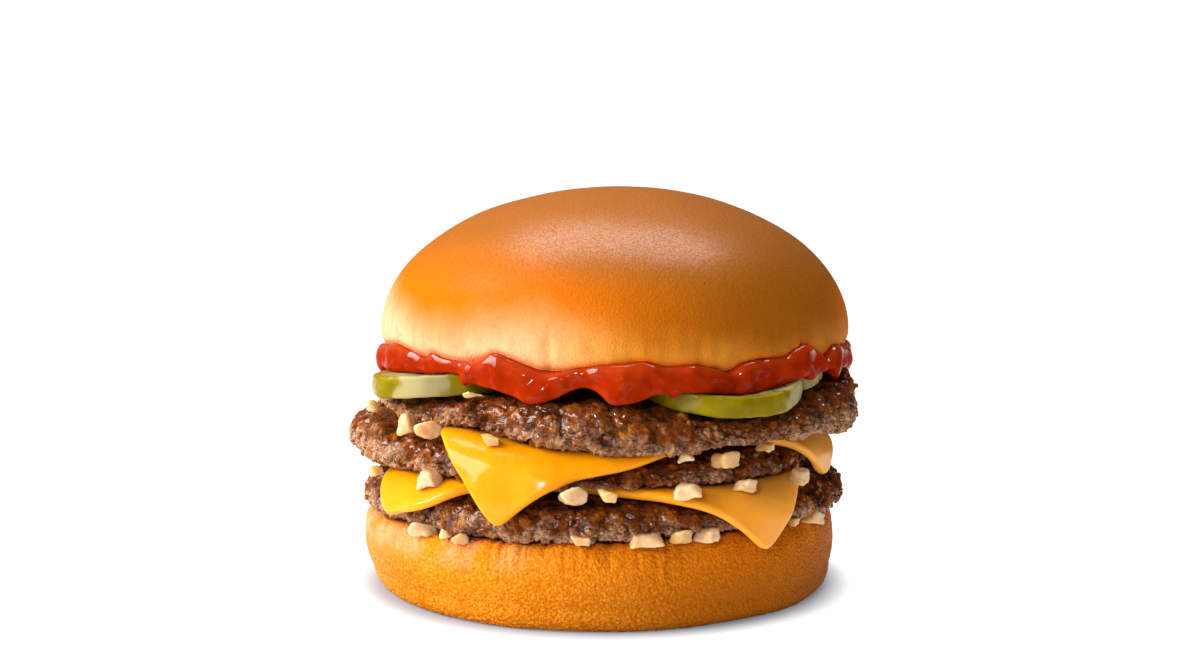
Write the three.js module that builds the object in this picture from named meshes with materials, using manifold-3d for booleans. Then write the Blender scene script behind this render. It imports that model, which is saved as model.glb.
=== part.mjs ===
// A triple cheeseburger standing on a table: a heel, three beef patties with two draped cheese slices
// between them, pickle slices, a layer of ketchup and a domed crown, with diced onion in every gap.
// Units are millimetres, +Z is up, and the origin is the middle of the heel's flat base. The front is -Y.
import * as THREE from "three";
import { mergeVertices } from "three/addons/utils/BufferGeometryUtils.js";
import Module from "manifold-3d";

const wasm = await Module();
wasm.setup();

// ---- Driving dimensions. Azimuths are degrees round the stack from the front, -Y, towards +X. ----

const GAP = 0.3; // the clearance that touching pieces keep
const ROUND_SEGMENTS = 36; // facets round a bun or a patty

// The heel leans a little: lean is how far the middle of its top lies from the middle of its base.
// Its side comes in by taper from its widest ring down to the round of the base.
const HEEL = {
  radius: 50.3, widestAt: 13, lean: -1.3, shoulder: 2.6, taper: 1.4, baseRadius: 46, baseRound: 4.2,
  waves: [[3, 0.25, 0.5], [5, 0.2, 2]],
};
const CROWN = { x: 3.1, radius: 50.1, widestAt: 54.3, domeHeight: 30.3, lipRadius: 47.9, lipAt: 49.3 };
const CROWN_CUT = { radius: 46, inner: 36, height: 50.7 }; // the cut is flat inside, and falls to the lip

// The faces of the stack: height over the origin, slope towards +X, and the rolls, where a face goes
// up or down towards its rim, each [azimuth, half width, lift, the reach at which it starts]. The
// waves of a rim are [count, size, phase].
const HEEL_TOP = { height: 17.3, slope: 0.02, rolls: [] };
const ROLL_END = 49.5; // a roll is whole at this reach from the axis

const PATTIES = {
  patty_lower: {
    x: 0.8, y: 0, radius: 50.8,
    bottom: { height: 17.6, slope: 0.02, rolls: [[20, 26, 0.9, 40], [-55, 25, 0.6, 40]] },
    top: { height: 25.3, slope: 0,
      rolls: [[32, 45, -1, 28], [85, 28, 0.9, 44], [-85, 32, -1, 28], [170, 40, 0.7, 44]] },
    waves: [[2, 0.4, 0.4], [3, 0.5, 2.1], [5, 0.5, 0.9], [7, 0.35, 4]],
  },
  patty_middle: {
    x: -2.9, y: 1, radius: 50.2,
    bottom: { height: 28.2, slope: 0,
      rolls: [[34, 42, -0.9, 28], [4, 30, -1.1, 45], [-70, 25, -0.6, 40], [150, 40, 0.6, 28]] },
    top: { height: 34.3, slope: -0.045,
      rolls: [[-62, 30, -0.3, 28], [-3, 39, -2.6, 28], [140, 40, -0.8, 28]] },
    waves: [[2, 0.5, 3], [3, 0.6, 0.3], [5, 0.5, 2.6], [8, 0.35, 1.2]],
  },
  patty_upper: {
    x: 4.6, y: -1, radius: 50.7,
    bottom: { height: 37.2, slope: -0.045,
      rolls: [[-3, 39, -2.6, 28], [17, 26, -1.2, 45], [-44, 16, -1.6, 44], [140, 40, -0.7, 28]] },
    top: { height: 44.3, slope: 0.015,
      rolls: [[-62, 32, -1.2, 28], [-8, 14, 1, 44], [31, 33, -3.9, 28], [80, 17, 2.2, 48],
        [130, 35, -1.2, 28], [-150, 30, 0.6, 44]] },
    waves: [[2, 0.5, 1.2], [3, 0.6, 3.6], [6, 0.5, 0.4], [9, 0.3, 2.2]],
  },
};
const PATTY_RIM_SHARE = 0.4; // the height of the widest point, as a share of the thickness
const PATTY_EDGE_POWER = 22; // the higher, the blunter the edge
const PATTY_REACHES = [0, 0.55, 0.8, 0.9, 0.96, 0.99];

const CHEESE = {
  thickness: 2, halfSide: 40, clearance: 0.6, bend: 5, hang: 82, rimClearance: 1.8, cornerRound: 0.03,
  cornerPower: 10,
};
// Each corner is [azimuth, reach along the slice from the axis of the patty that it lies on].
const CHEESES = {
  cheese_lower: { on: "patty_lower", corners: [[35.5, 61], [126, 59], [-146, 60], [-52, 57.5]] },
  cheese_upper: { on: "patty_middle", corners: [[-18, 65.2], [68, 58.5], [160, 59], [-112, 52]] },
};
const CHEESE_CELLS = 15;
const CHEESE_CORE = 0.7; // the middle share of a slice that is flat, and has only a third of the cells

const PICKLE = { bevel: 0.6, core: 0.55, segments: 20 };
const PICKLES = {
  pickle_front_left: { x: -30.7, y: -24, length: 30, width: 28, turn: 20, thickness: 4.3 },
  pickle_front_right: { x: 22.5, y: -33.5, length: 33, width: 30, turn: -20, thickness: 4.1 },
  pickle_right: { x: 33.8, y: -21.8, length: 22, width: 22, turn: 0, thickness: 3 },
  pickle_back: { x: -4, y: 30, length: 31, width: 28.5, turn: 65, thickness: 3.6 },
};

// The ketchup is a film under the crown, with a bed in the middle that goes right down to the upper
// patty, and a rounded rim whose hem stays clear of the pickles by a margin.
const KETCHUP = {
  film: 0.5, bed: 13.5, bedSlope: 2, outer: 50.6, thin: 1, rise: 0.3, fullAt: 2.5, hem: 47.2, hemWidth: 2,
  margin: 3, segments: 50,
};
// Where the ketchup swells out and up the side of the crown, and where it runs down over the upper
// patty: each [azimuth, half width, how far].
const BULBS = [
  [-62, 10, 2.9], [-47, 6, 1.1], [-32, 10, 2.7], [4, 13, 2.7], [30, 13, 1.9], [48, 8, 3.3], [64, 6, 3],
  [92, 12, 2.2], [122, 9, 1.4], [152, 12, 2.5], [-168, 9, 1.6], [-133, 12, 2.4], [-98, 9, 1.8],
];
const DRIPS = [
  [-19, 11, 3.6], [1.5, 10, 3.6], [58, 5, 2], [92, 18, 2.6], [121, 13, 3.2], [147, 14, 2.8],
  [-168, 10, 1.6], [-138, 20, 3.2], [-101, 20, 2.8],
];

// Onion dice, each [azimuth, width, thickness, rise over the seat of its level, inset from its reach].
const ONIONS = {
  heel: [
    [-44, 5, 3.3, 0], [-37, 2.4, 1.6, 0.8], [-32, 3.6, 2.4, 0], [-4, 4.4, 2, 0.7], [10, 5.4, 2.8, 0.6],
    [17.5, 4.6, 2.8, 0.3], [24.5, 5.4, 2.3, 0.7], [50, 2.4, 1.9, 0], [59, 4.2, 3.2, -0.3], [93, 4.6, 3, 0],
    [126, 3.8, 2.6, 0.3], [131, 2.6, 2, 0.2], [163, 5, 2.8, 0], [-160, 4.2, 2.6, 0.2], [-126, 4.8, 3, 0],
    [-104, 4.2, 2.8, 0],
  ],
  lower: [
    [-61, 3.4, 2.4, -0.5], [-40, 5, 3, 0.3], [-5.6, 5, 3, -0.8], [1.9, 3.4, 2.2, -0.5],
    [18.5, 4.6, 3, 0.5], [32.5, 4.6, 2.7, 0.2], [50, 4.1, 3.4, 0.5], [101, 4.8, 3, 0], [147, 5, 3, 0],
    [-172, 3.6, 2.6, 0.2], [-119, 5, 3.2, 0],
  ],
  middle: [
    [-82, 3.8, 2.8, 0.7, 4.4], [-49, 3.2, 4, 0.8], [-41.5, 5, 3.3, 0.4], [-24, 3.6, 2.4, 1.4],
    [19, 3.2, 2, 0], [27.5, 5.6, 4, -1.5], [39.5, 3.4, 2.5, 0.6], [118, 4.6, 3.2, 0.4, 3],
    [-166, 4.8, 3.2, 0.4], [-137, 3.6, 2.8, 0.6],
  ],
  upper: [[-30, 5, 2, 0]],
};
const ONION_REACH = { heel: 50, lower: 51.6, middle: 50.4, upper: 48.6 };
const ONION_ASPECT = 0.85; // depth over width
const ONION_SKEW = 0.13; // how far the corners of a die stray from a box, as a share of its width
const ONION_TILT = 0.3; // the most that a die leans, in radians
// The pieces that an onion die of each level is pressed between.
const ONION_NEIGHBOURS = {
  heel: ["bun_heel", "patty_lower", "cheese_lower"],
  lower: ["patty_lower", "patty_middle", "cheese_lower", "cheese_upper"],
  middle: ["patty_middle", "patty_upper", "cheese_upper"],
  upper: ["patty_upper", "pickle_front_left", "ketchup"],
};

// ---- Materials ----

const finish = (color, roughness) => new THREE.MeshStandardMaterial({ color, roughness, metalness: 0 });
const CRUST = finish(0xc47a2c, 0.5);
const BEEF = finish(0x5c3a28, 0.45);
const MELTED_CHEESE = finish(0xf5a81c, 0.35);
const PICKLE_GREEN = finish(0x8e9630, 0.3);
const TOMATO = finish(0xb92408, 0.15);
const ONION_WHITE = finish(0xe8d6a8, 0.35);

// ---- Curves and surfaces ----

const { degToRad, lerp, smoothstep } = THREE.MathUtils;
const outwards = (azimuth) => [Math.sin(azimuth), -Math.cos(azimuth)];
const azimuthOf = (x, y) => Math.atan2(x, -y);

// The sum of a few cosine waves round the rim, each [count, amplitude, phase].
function ripple(azimuth, waves) {
  return waves.reduce((sum, [count, size, phase]) => sum + size * Math.cos(count * azimuth + phase), 0);
}

// How far an azimuth is inside a lobe: 1 at its middle and 0 at its half width and beyond.
function lobe(azimuth, at, half) {
  const turns = azimuth - degToRad(at);
  const away = Math.abs(Math.atan2(Math.sin(turns), Math.cos(turns)));
  return away < degToRad(half) ? Math.cos((away / degToRad(half)) * (Math.PI / 2)) ** 2 : 0;
}

// The height of a face of the stack.
function face({ height, slope, rolls }, x, y) {
  const reach = Math.hypot(x, y);
  const azimuth = azimuthOf(x, y);
  const lifts = rolls.map(([at, half, lift, from]) => {
    return lift * smoothstep(reach, from, ROLL_END) * lobe(azimuth, at, half);
  });
  return lifts.reduce((sum, lift) => sum + lift, height + slope * x);
}

// A lathe whose profile changes round the axis. profileAt(azimuth) gives the same number of
// [radius, height] points for each azimuth, from the axis at the top down to the axis at the bottom.
function variedLathe(profileAt, segments, x = 0, y = 0) {
  const count = profileAt(0).length;
  const profile = Array.from({ length: count }, (_, j) => new THREE.Vector2(j, j));
  const geometry = new THREE.LatheGeometry(profile, segments);
  const position = geometry.getAttribute("position");
  for (let i = 0; i <= segments; i++) {
    const azimuth = ((i % segments) / segments) * 2 * Math.PI;
    const [dx, dy] = outwards(azimuth);
    profileAt(azimuth).forEach(([radius, height], j) => {
      position.setXYZ((i + 1) * count - 1 - j, x + radius * dx, y + radius * dy, height);
    });
  }
  return geometry;
}

// ---- Buns ----

// The points of a quarter ellipse from its side, [radius, from], to its end on the flat, both included.
function quarter(radius, from, flatRadius, to, steps) {
  return Array.from({ length: steps + 1 }, (_, i) => {
    const turn = (i / steps) * (Math.PI / 2);
    return [flatRadius + (radius - flatRadius) * Math.cos(turn), from + (to - from) * Math.sin(turn)];
  });
}

function heel(grow = 0) {
  const radius = HEEL.radius + grow;
  const flat = HEEL.radius - HEEL.shoulder;
  const profileAt = (azimuth) => {
    const [dx, dy] = outwards(azimuth);
    const top = (reach) => face(HEEL_TOP, dx * reach, dy * reach) + grow;
    const upper = quarter(radius, HEEL.widestAt, flat, top(flat), 3).reverse();
    const lower = quarter(radius - HEEL.taper, HEEL.baseRound, HEEL.baseRadius, 0, 3);
    const wavy = [...upper, ...lower].map(([r, z]) => {
      const share = lerp(-0.5, 0.5, z / HEEL_TOP.height);
      return [z > 0 ? r + ripple(azimuth, HEEL.waves) + HEEL.lean * share * dx : r, z];
    });
    return [[0, top(0)], [flat / 2, top(flat / 2)], ...wavy, [0, 0]];
  };
  return variedLathe(profileAt, ROUND_SEGMENTS);
}

const crownCut = (radius) =>
  lerp(CROWN_CUT.height, CROWN.lipAt, smoothstep(radius, CROWN_CUT.inner, CROWN_CUT.radius));

// The crown's side, from its widest ring in to the lip at the cut.
const crownSide = (height) =>
  lerp(CROWN.radius, CROWN.lipRadius, ((CROWN.widestAt - height) / (CROWN.widestAt - CROWN.lipAt)) ** 2);

function crown() {
  const dome = quarter(CROWN.radius, CROWN.widestAt, 0, CROWN.widestAt + CROWN.domeHeight, 8).reverse();
  const side = [0.35, 0.7, 0.9].map((share) => {
    const height = lerp(CROWN.widestAt, CROWN.lipAt, share);
    return [crownSide(height), height];
  });
  const cut = [CROWN_CUT.radius, lerp(CROWN_CUT.radius, CROWN_CUT.inner, 0.5), CROWN_CUT.inner, 0];
  const profile = [...dome, ...side, ...cut.map((radius) => [radius, crownCut(radius)])];
  return variedLathe(() => profile, ROUND_SEGMENTS, CROWN.x);
}

// ---- Patties ----

const rimAt = (spec, azimuth) => spec.radius + ripple(azimuth, spec.waves);

// How much of a patty's thickness is left at a share of the way to its rim.
const openness = (reach) => Math.sqrt(Math.max(0, 1 - reach ** PATTY_EDGE_POWER));

// The top of a patty with its rounded edge.
function pattyTop(spec, x, y) {
  const [dx, dy] = [x - spec.x, y - spec.y];
  const reach = Math.hypot(dx, dy) / rimAt(spec, azimuthOf(dx, dy));
  const bottom = face(spec.bottom, x, y);
  return lerp(lerp(bottom, face(spec.top, x, y), PATTY_RIM_SHARE), face(spec.top, x, y), openness(reach));
}

// A disc with a wavy rim, whose faces close on the rim.
function patty(spec, grow = 0) {
  const upper = PATTY_REACHES.map((reach) => [reach, 1]);
  const lower = PATTY_REACHES.map((reach) => [reach, -1]).reverse();
  const profileAt = (azimuth) => {
    const rim = rimAt(spec, azimuth);
    const [dx, dy] = outwards(azimuth);
    return [...upper, [1, 1], ...lower].map(([reach, side]) => {
      const [x, y] = [spec.x + dx * rim * reach, spec.y + dy * rim * reach];
      const [bottom, top] = [face(spec.bottom, x, y), face(spec.top, x, y)];
      const middle = lerp(bottom, top, PATTY_RIM_SHARE);
      const open = openness(reach);
      const height = lerp(middle, side > 0 ? top : bottom, open) + side * grow * open;
      return [(rim + grow) * reach, height];
    });
  };
  return variedLathe(profileAt, ROUND_SEGMENTS, spec.x, spec.y);
}

// ---- Cheese ----

// Spreads grid lines from -1 to 1 so that the outer part of a slice, which bends, has most of them.
function gridLine(share) {
  const t = Math.abs(share);
  const third = 1 / 3;
  const spread = t < third ? (t / third) * CHEESE_CORE : lerp(CHEESE_CORE, 1, (t - third) / (1 - third));
  return Math.sign(share) * spread;
}

// A slice lies on its patty, bends down over the rim along an arc, and hangs from there. The corners
// are joined by straight edges on the flat, before the slice is draped.
function cheese(spec, grow = 0) {
  const bed = PATTIES[spec.on];
  const corners = spec.corners.map(([azimuth, reach]) => {
    const [dx, dy] = outwards(degToRad(azimuth));
    return new THREE.Vector2(dx * reach, dy * reach);
  });
  const drape = (u, v, lift) => {
    const flat = new THREE.Vector2()
      .addScaledVector(corners[0], ((1 + u) * (1 + v)) / 4)
      .addScaledVector(corners[1], ((1 - u) * (1 + v)) / 4)
      .addScaledVector(corners[2], ((1 - u) * (1 - v)) / 4)
      .addScaledVector(corners[3], ((1 + u) * (1 - v)) / 4);
    const reach = flat.length();
    const azimuth = azimuthOf(flat.x, flat.y);
    const [dx, dy] = outwards(azimuth);
    const start = rimAt(bed, azimuth) + CHEESE.rimClearance - CHEESE.bend;
    const beyond = Math.max(0, reach - start);
    const turned = Math.min(beyond / CHEESE.bend, degToRad(CHEESE.hang));
    const hanging = beyond - turned * CHEESE.bend;
    const edge = Math.min(reach, start);
    const out = edge + (CHEESE.bend + lift) * Math.sin(turned) + hanging * Math.cos(turned);
    const down = CHEESE.bend * (1 - Math.cos(turned)) + hanging * Math.sin(turned);
    const height = face(bed.top, bed.x + dx * edge, bed.y + dy * edge);
    return [bed.x + dx * out, bed.y + dy * out, height + CHEESE.clearance - down + lift * Math.cos(turned)];
  };
  const geometry = new THREE.BoxGeometry(2, 2, 1, CHEESE_CELLS, CHEESE_CELLS, 1);
  const position = geometry.getAttribute("position");
  for (let i = 0; i < position.count; i++) {
    const [u, v] = [gridLine(position.getX(i)), gridLine(position.getY(i))];
    const corner = Math.min(Math.abs(u), Math.abs(v)) ** CHEESE.cornerPower;
    const round = (1 + CHEESE.cornerRound * corner) / (1 + grow / CHEESE.halfSide);
    const lift = position.getZ(i) > 0 ? CHEESE.thickness + grow : -grow;
    position.setXYZ(i, ...drape(u / round, v / round, lift));
  }
  return geometry;
}

// ---- Pickles ----

const pickleBed = (x, y) => face(PATTIES.patty_upper.top, x, y) + GAP;

// The distance from a pickle's middle to its edge. An azimuth here is round that middle.
function pickleRadius(spec, azimuth) {
  const [dx, dy] = outwards(azimuth - degToRad(spec.turn));
  return 1 / Math.hypot((2 * dx) / spec.length, (2 * dy) / spec.width);
}

// An oval slice with bevelled edges, bent to lie on the upper patty.
function pickle(spec, grow = 0) {
  const { bevel, core, segments } = PICKLE;
  const [low, high] = [-grow, spec.thickness + grow];
  const profile = [
    [0, high], [core, high], [1, high, bevel], [1, high - bevel],
    [1, low + bevel], [1, low, bevel], [core, low], [0, low],
  ];
  const profileAt = (azimuth) => {
    const rim = pickleRadius(spec, azimuth) + grow;
    return profile.map(([reach, height, inset = 0]) => [rim * reach - inset, height]);
  };
  const geometry = variedLathe(profileAt, segments, spec.x, spec.y);
  const position = geometry.getAttribute("position");
  for (let i = 0; i < position.count; i++) {
    position.setZ(i, position.getZ(i) + pickleBed(position.getX(i), position.getY(i)));
  }
  return geometry;
}

// The height that the sauce rests on: the upper patty, or a pickle slice on it.
function sauceFloor(x, y) {
  const covers = (spec) => {
    const [dx, dy] = [x - spec.x, y - spec.y];
    return Math.hypot(dx, dy) < pickleRadius(spec, azimuthOf(dx, dy)) + KETCHUP.margin;
  };
  const slices = Object.values(PICKLES).filter(covers);
  const top = pattyTop(PATTIES.patty_upper, x, y);
  return Math.max(top, ...slices.map((spec) => pickleBed(x, y) + spec.thickness)) + GAP;
}

// ---- Ketchup ----

// The profile goes from the axis out under the crown, round the rim and back. Where nothing swells or
// drips, the rim is thin.
function ketchup() {
  const { bed, bedSlope, thin, rise, fullAt, hem, hemWidth } = KETCHUP;
  const most = (azimuth, lobes) => {
    return Math.max(...lobes.map(([at, half, size]) => size * lobe(azimuth, at, half)));
  };
  const under = (radius) => crownCut(radius) - GAP;
  const profileAt = (azimuth) => {
    const [dx, dy] = outwards(azimuth);
    const drip = most(azimuth, DRIPS);
    const swell = rise + most(azimuth, BULBS);
    const rimTop = CROWN.lipAt + swell;
    const outer = lerp(CROWN.lipRadius + thin, KETCHUP.outer, Math.min(1, (swell + drip) / fullAt));
    const floor = (radius) => sauceFloor(CROWN.x + dx * radius, dy * radius);
    const film = (radius) => [radius, under(radius) - KETCHUP.film];
    const low = Math.max(hem - drip, floor(outer), floor(outer - hemWidth));
    return [
      [0, under(0)],
      [CROWN_CUT.inner, under(CROWN_CUT.inner)],
      [CROWN_CUT.radius, under(CROWN_CUT.radius)],
      [CROWN.lipRadius + GAP, under(CROWN_CUT.radius)],
      [crownSide(rimTop) + GAP, rimTop],
      [outer - 0.25, lerp(rimTop, low, 0.3)],
      [outer, lerp(rimTop, low, 0.65)],
      [outer - 0.7, low + 0.2],
      [outer - hemWidth, low],
      film(CROWN_CUT.radius - 0.5),
      film((CROWN_CUT.radius + CROWN_CUT.inner) / 2),
      film(CROWN_CUT.inner),
      film(bed + bedSlope),
      [bed, floor(bed)],
      [0, floor(0)],
    ];
  };
  return variedLathe(profileAt, KETCHUP.segments, CROWN.x);
}

// ---- Onion ----

// The height at which the dice of each level sit.
const seats = {
  heel: (x, y) => face(HEEL_TOP, x, y) + 0.4,
  lower: (x, y) => face(PATTIES.patty_lower.top, x, y) + 2.6,
  middle: (x, y) => face(PATTIES.patty_middle.top, x, y) + 1.3,
  upper: (x, y) => face(PATTIES.patty_upper.top, x, y) + 1,
};

// A box whose eight corners stray by a fixed wave, so that no two dice are alike.
function onionDie(level, [azimuth, width, thickness, rise, inset = 0], number) {
  const geometry = new THREE.BoxGeometry(width, width * ONION_ASPECT, thickness);
  const position = geometry.getAttribute("position");
  for (let i = 0; i < position.count; i++) {
    const [x, y, z] = [position.getX(i), position.getY(i), position.getZ(i)];
    const wave = number * 2.4 + x * 1.3 + y * 2.1 + z * 3.7;
    const stray = (phase) => ONION_SKEW * width * Math.sin(wave + phase);
    position.setXYZ(i, x + stray(0), y + stray(2), z + stray(4) / 2);
  }
  const tilt = new THREE.Euler(
    ONION_TILT * Math.sin(number), ONION_TILT * Math.cos(number * 2), number * 1.9,
  );
  const [dx, dy] = outwards(degToRad(azimuth));
  const [x, y] = [dx * (ONION_REACH[level] - inset), dy * (ONION_REACH[level] - inset)];
  geometry.applyMatrix4(new THREE.Matrix4().makeRotationFromEuler(tilt));
  return geometry.translate(x, y, seats[level](x, y) + rise);
}

// ---- Solids, for the cuts ----

function toSolid(geometry) {
  const bare = geometry.clone();
  bare.deleteAttribute("normal");
  bare.deleteAttribute("uv");
  const merged = mergeVertices(bare, 1e-4);
  const vertProperties = merged.getAttribute("position").array;
  const triVerts = new Uint32Array(merged.index.array);
  return new wasm.Manifold(new wasm.Mesh({ numProp: 3, vertProperties, triVerts }));
}

function toGeometry(solid) {
  const { numProp, vertProperties, triVerts } = solid.getMesh();
  const buffer = new THREE.InterleavedBuffer(vertProperties, numProp);
  const geometry = new THREE.BufferGeometry();
  geometry.setAttribute("position", new THREE.InterleavedBufferAttribute(buffer, 3, 0));
  geometry.setIndex(new THREE.BufferAttribute(triVerts, 1));
  geometry.computeVertexNormals();
  return geometry;
}

// What is left of a piece once its neighbours, made larger by the gap, are cut away: its largest part.
function pressed(geometry, neighbours) {
  const left = neighbours.reduce((solid, neighbour) => solid.subtract(neighbour), toSolid(geometry));
  const pieces = left.decompose().sort((a, b) => b.volume() - a.volume());
  return toGeometry(pieces[0]);
}

// ---- The burger ----

const burger = new THREE.Group();

function add(name, geometry, material) {
  const mesh = new THREE.Mesh(geometry, material);
  mesh.name = name;
  burger.add(mesh);
}

add("bun_heel", heel(), CRUST);
add("bun_crown", crown(), CRUST);
Object.entries(PATTIES).forEach(([name, spec]) => add(name, patty(spec), BEEF));
Object.entries(CHEESES).forEach(([name, spec]) => add(name, cheese(spec), MELTED_CHEESE));
Object.entries(PICKLES).forEach(([name, spec]) => {
  const slice = pickle(spec);
  // The hidden side of the right slice makes room for the slice in front of it.
  const inFront = name === "pickle_right" ? [toSolid(pickle(PICKLES.pickle_front_right, GAP))] : [];
  add(name, pressed(slice, inFront), PICKLE_GREEN);
});
add("ketchup", ketchup(), TOMATO);

const cutters = {
  bun_heel: toSolid(heel(GAP)),
  ketchup: toSolid(ketchup()),
  pickle_front_left: toSolid(pickle(PICKLES.pickle_front_left)),
  ...Object.fromEntries(Object.entries(PATTIES).map(([name, spec]) => [name, toSolid(patty(spec, GAP))])),
  ...Object.fromEntries(Object.entries(CHEESES).map(([name, spec]) => [name, toSolid(cheese(spec, GAP))])),
};
Object.entries(ONIONS).forEach(([level, dice]) => {
  const neighbours = ONION_NEIGHBOURS[level].map((name) => cutters[name]);
  dice.forEach((die, i) => {
    add(`onion_${level}_${i + 1}`, pressed(onionDie(level, die, i), neighbours), ONION_WHITE);
  });
});

export default burger;
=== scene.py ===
"""Finished layers of a triple cheeseburger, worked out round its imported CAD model.

Lengths in the tables of sizes and in the surface functions are in millimetres. Azimuths go round the stack
from the front, -Y, towards +X, and are degrees in the tables and radians in the grids. Each bun, patty,
slice, die and crumb, and the sauce, is one closed grid that goes from a pole on top, over the rim, to a pole
underneath.
"""

import itertools

import bpy
import numpy as np
from bpy.props import FloatProperty, FloatVectorProperty, PointerProperty
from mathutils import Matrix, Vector


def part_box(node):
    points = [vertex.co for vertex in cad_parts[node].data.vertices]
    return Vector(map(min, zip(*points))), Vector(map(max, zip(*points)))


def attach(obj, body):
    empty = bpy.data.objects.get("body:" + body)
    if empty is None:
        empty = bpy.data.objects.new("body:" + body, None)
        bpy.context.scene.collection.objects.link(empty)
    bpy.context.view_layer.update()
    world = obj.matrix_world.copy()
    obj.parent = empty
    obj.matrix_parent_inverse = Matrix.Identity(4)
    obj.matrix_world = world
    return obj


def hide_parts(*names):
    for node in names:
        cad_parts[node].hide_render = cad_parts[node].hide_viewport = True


bl_info = {
    "name": "Triple cheeseburger",
    "version": (1, 0, 0),
    "blender": (4, 5, 0),
    "location": "3D View > Sidebar > Burger",
    "description": "Makes the finished layers of a triple cheeseburger round its CAD model",
    "category": "Object",
}

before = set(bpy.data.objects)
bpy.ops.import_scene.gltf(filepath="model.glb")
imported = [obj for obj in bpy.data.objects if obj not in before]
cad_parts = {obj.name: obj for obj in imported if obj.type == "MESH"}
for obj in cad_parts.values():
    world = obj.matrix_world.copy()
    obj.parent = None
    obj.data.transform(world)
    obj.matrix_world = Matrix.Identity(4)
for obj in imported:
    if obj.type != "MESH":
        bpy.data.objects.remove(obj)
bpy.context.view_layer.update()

MM = 0.001


# ---- Sizes ----


def box_of(node):
    """The lowest and highest corner of a CAD node, in millimetres."""
    low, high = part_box(node)
    return np.array(low) / MM, np.array(high) / MM


CROWN_LOW, CROWN_HIGH = box_of("bun_crown")

CROWN = {
    "x": (CROWN_LOW[0] + CROWN_HIGH[0]) / 2,
    "radius": (CROWN_HIGH[0] - CROWN_LOW[0]) / 2,
    "top": CROWN_HIGH[2],
    "lip_at": CROWN_LOW[2],
    "widest_at": 54.3,
    "lip_radius": 47.9,
    "cut_radius": 46.0,
    "cut_inner": 36.0,
    "cut_height": 50.7,
    "cut_rings": [47.4, 46.6, 45, 42, 38, 30, 15, 0],
}
# Creases of the crown's pale band: azimuth, depth, half width, and the height at which each ends.
CROWN_CREASES = [
    (-15, 0.5, 0.9, 60), (-34, 0.2, 1.2, 57), (3, 0.2, 1.4, 58), (18.5, 0.45, 0.8, 58),
    (23, 0.3, 1.0, 57), (34, 0.25, 1.0, 57), (47, 0.6, 0.8, 59), (71, 0.4, 1.0, 58),
    (104, 0.5, 0.9, 59), (133, 0.3, 1.1, 58), (171, 0.5, 0.8, 60), (-140, 0.35, 1.1, 58),
    (-108, 0.5, 0.9, 59), (-76, 0.3, 1.0, 58),
]

HEEL = {
    "radius": 50.3, "top": 17.3, "slope": 0.02, "widest_at": 12.5, "shoulder": 2.6, "lean": -1.3,
    "taper": 1.2, "bulge": 0.5, "base_radius": 46.0, "base_round": 4.6,
    "waves": [(3, 0.25, 0.5), (5, 0.2, 2.0)],
    "top_rings": [0, 20, 36, 42, 45, 46.4, 47.2], "base_rings": [45, 42, 30, 12, 0],
}

# Faces of the stack: height, slope towards +X, and rolls, which lift or lower a face towards the rim,
# each azimuth, half width, lift and the reach at which it starts. Waves are count, size and phase.
ROLL_END = 49.5
PATTIES = {
    "patty_lower": {
        "x": 0.8, "y": 0.0, "radius": 50.8, "seed": 11,
        "bottom": (17.6, 0.02, [(20, 26, 0.9, 40), (-55, 25, 0.6, 40)]),
        "top": (25.3, 0.0, [(32, 45, -1, 28), (85, 28, 0.9, 44), (-85, 32, -1, 28), (170, 40, 0.7, 44)]),
        "waves": [(2, 0.4, 0.4), (3, 0.5, 2.1), (5, 0.5, 0.9), (7, 0.35, 4)],
    },
    "patty_middle": {
        "x": -2.9, "y": 1.0, "radius": 50.2, "seed": 23,
        "bottom": (28.2, 0.0, [(34, 42, -0.9, 28), (4, 30, -1.1, 45), (-70, 25, -0.6, 40),
                               (150, 40, 0.6, 28)]),
        "top": (34.3, -0.045, [(-62, 30, -0.3, 28), (-3, 39, -2.6, 28), (140, 40, -0.8, 28)]),
        "waves": [(2, 0.5, 3), (3, 0.6, 0.3), (5, 0.5, 2.6), (8, 0.35, 1.2)],
    },
    "patty_upper": {
        "x": 4.6, "y": -1.0, "radius": 50.7, "seed": 37,
        "bottom": (37.2, -0.045, [(-3, 39, -2.6, 28), (17, 26, -1.2, 45), (-44, 16, -1.6, 44),
                                  (140, 40, -0.7, 28)]),
        "top": (44.3, 0.015, [(-62, 32, -1.2, 28), (-8, 14, 1, 44), (31, 33, -3.9, 28), (80, 17, 2.2, 48),
                              (130, 35, -1.2, 28), (-150, 30, 0.6, 44)]),
        "waves": [(2, 0.5, 1.2), (3, 0.6, 3.6), (6, 0.5, 0.4), (9, 0.3, 2.2)],
    },
}
# How far up a patty's side its widest ring is, the power of the superellipse of its edge, and the degrees
# along that curve at which the edge begins.
RIM_SHARE = 0.4
EDGE_POWER = 22
EDGE_START = 84

# Corners of a slice: azimuth and reach along the slice from the axis of the patty that it lies on. Slack
# is where an edge has stretched outwards: azimuth, half width and how far.
CHEESES = {
    "cheese_lower": {
        "on": "patty_lower", "seed": 5, "corners": [(35.5, 61), (126, 59), (-146, 60), (-52, 57.5)],
        "slack": [(-37, 17, 5.5), (12, 20, 3)],
    },
    "cheese_upper": {
        "on": "patty_middle", "seed": 9, "corners": [(-18, 65.2), (68, 58.5), (160, 59), (-112, 52)],
        "slack": [(12, 22, 2.8)],
    },
}

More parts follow.
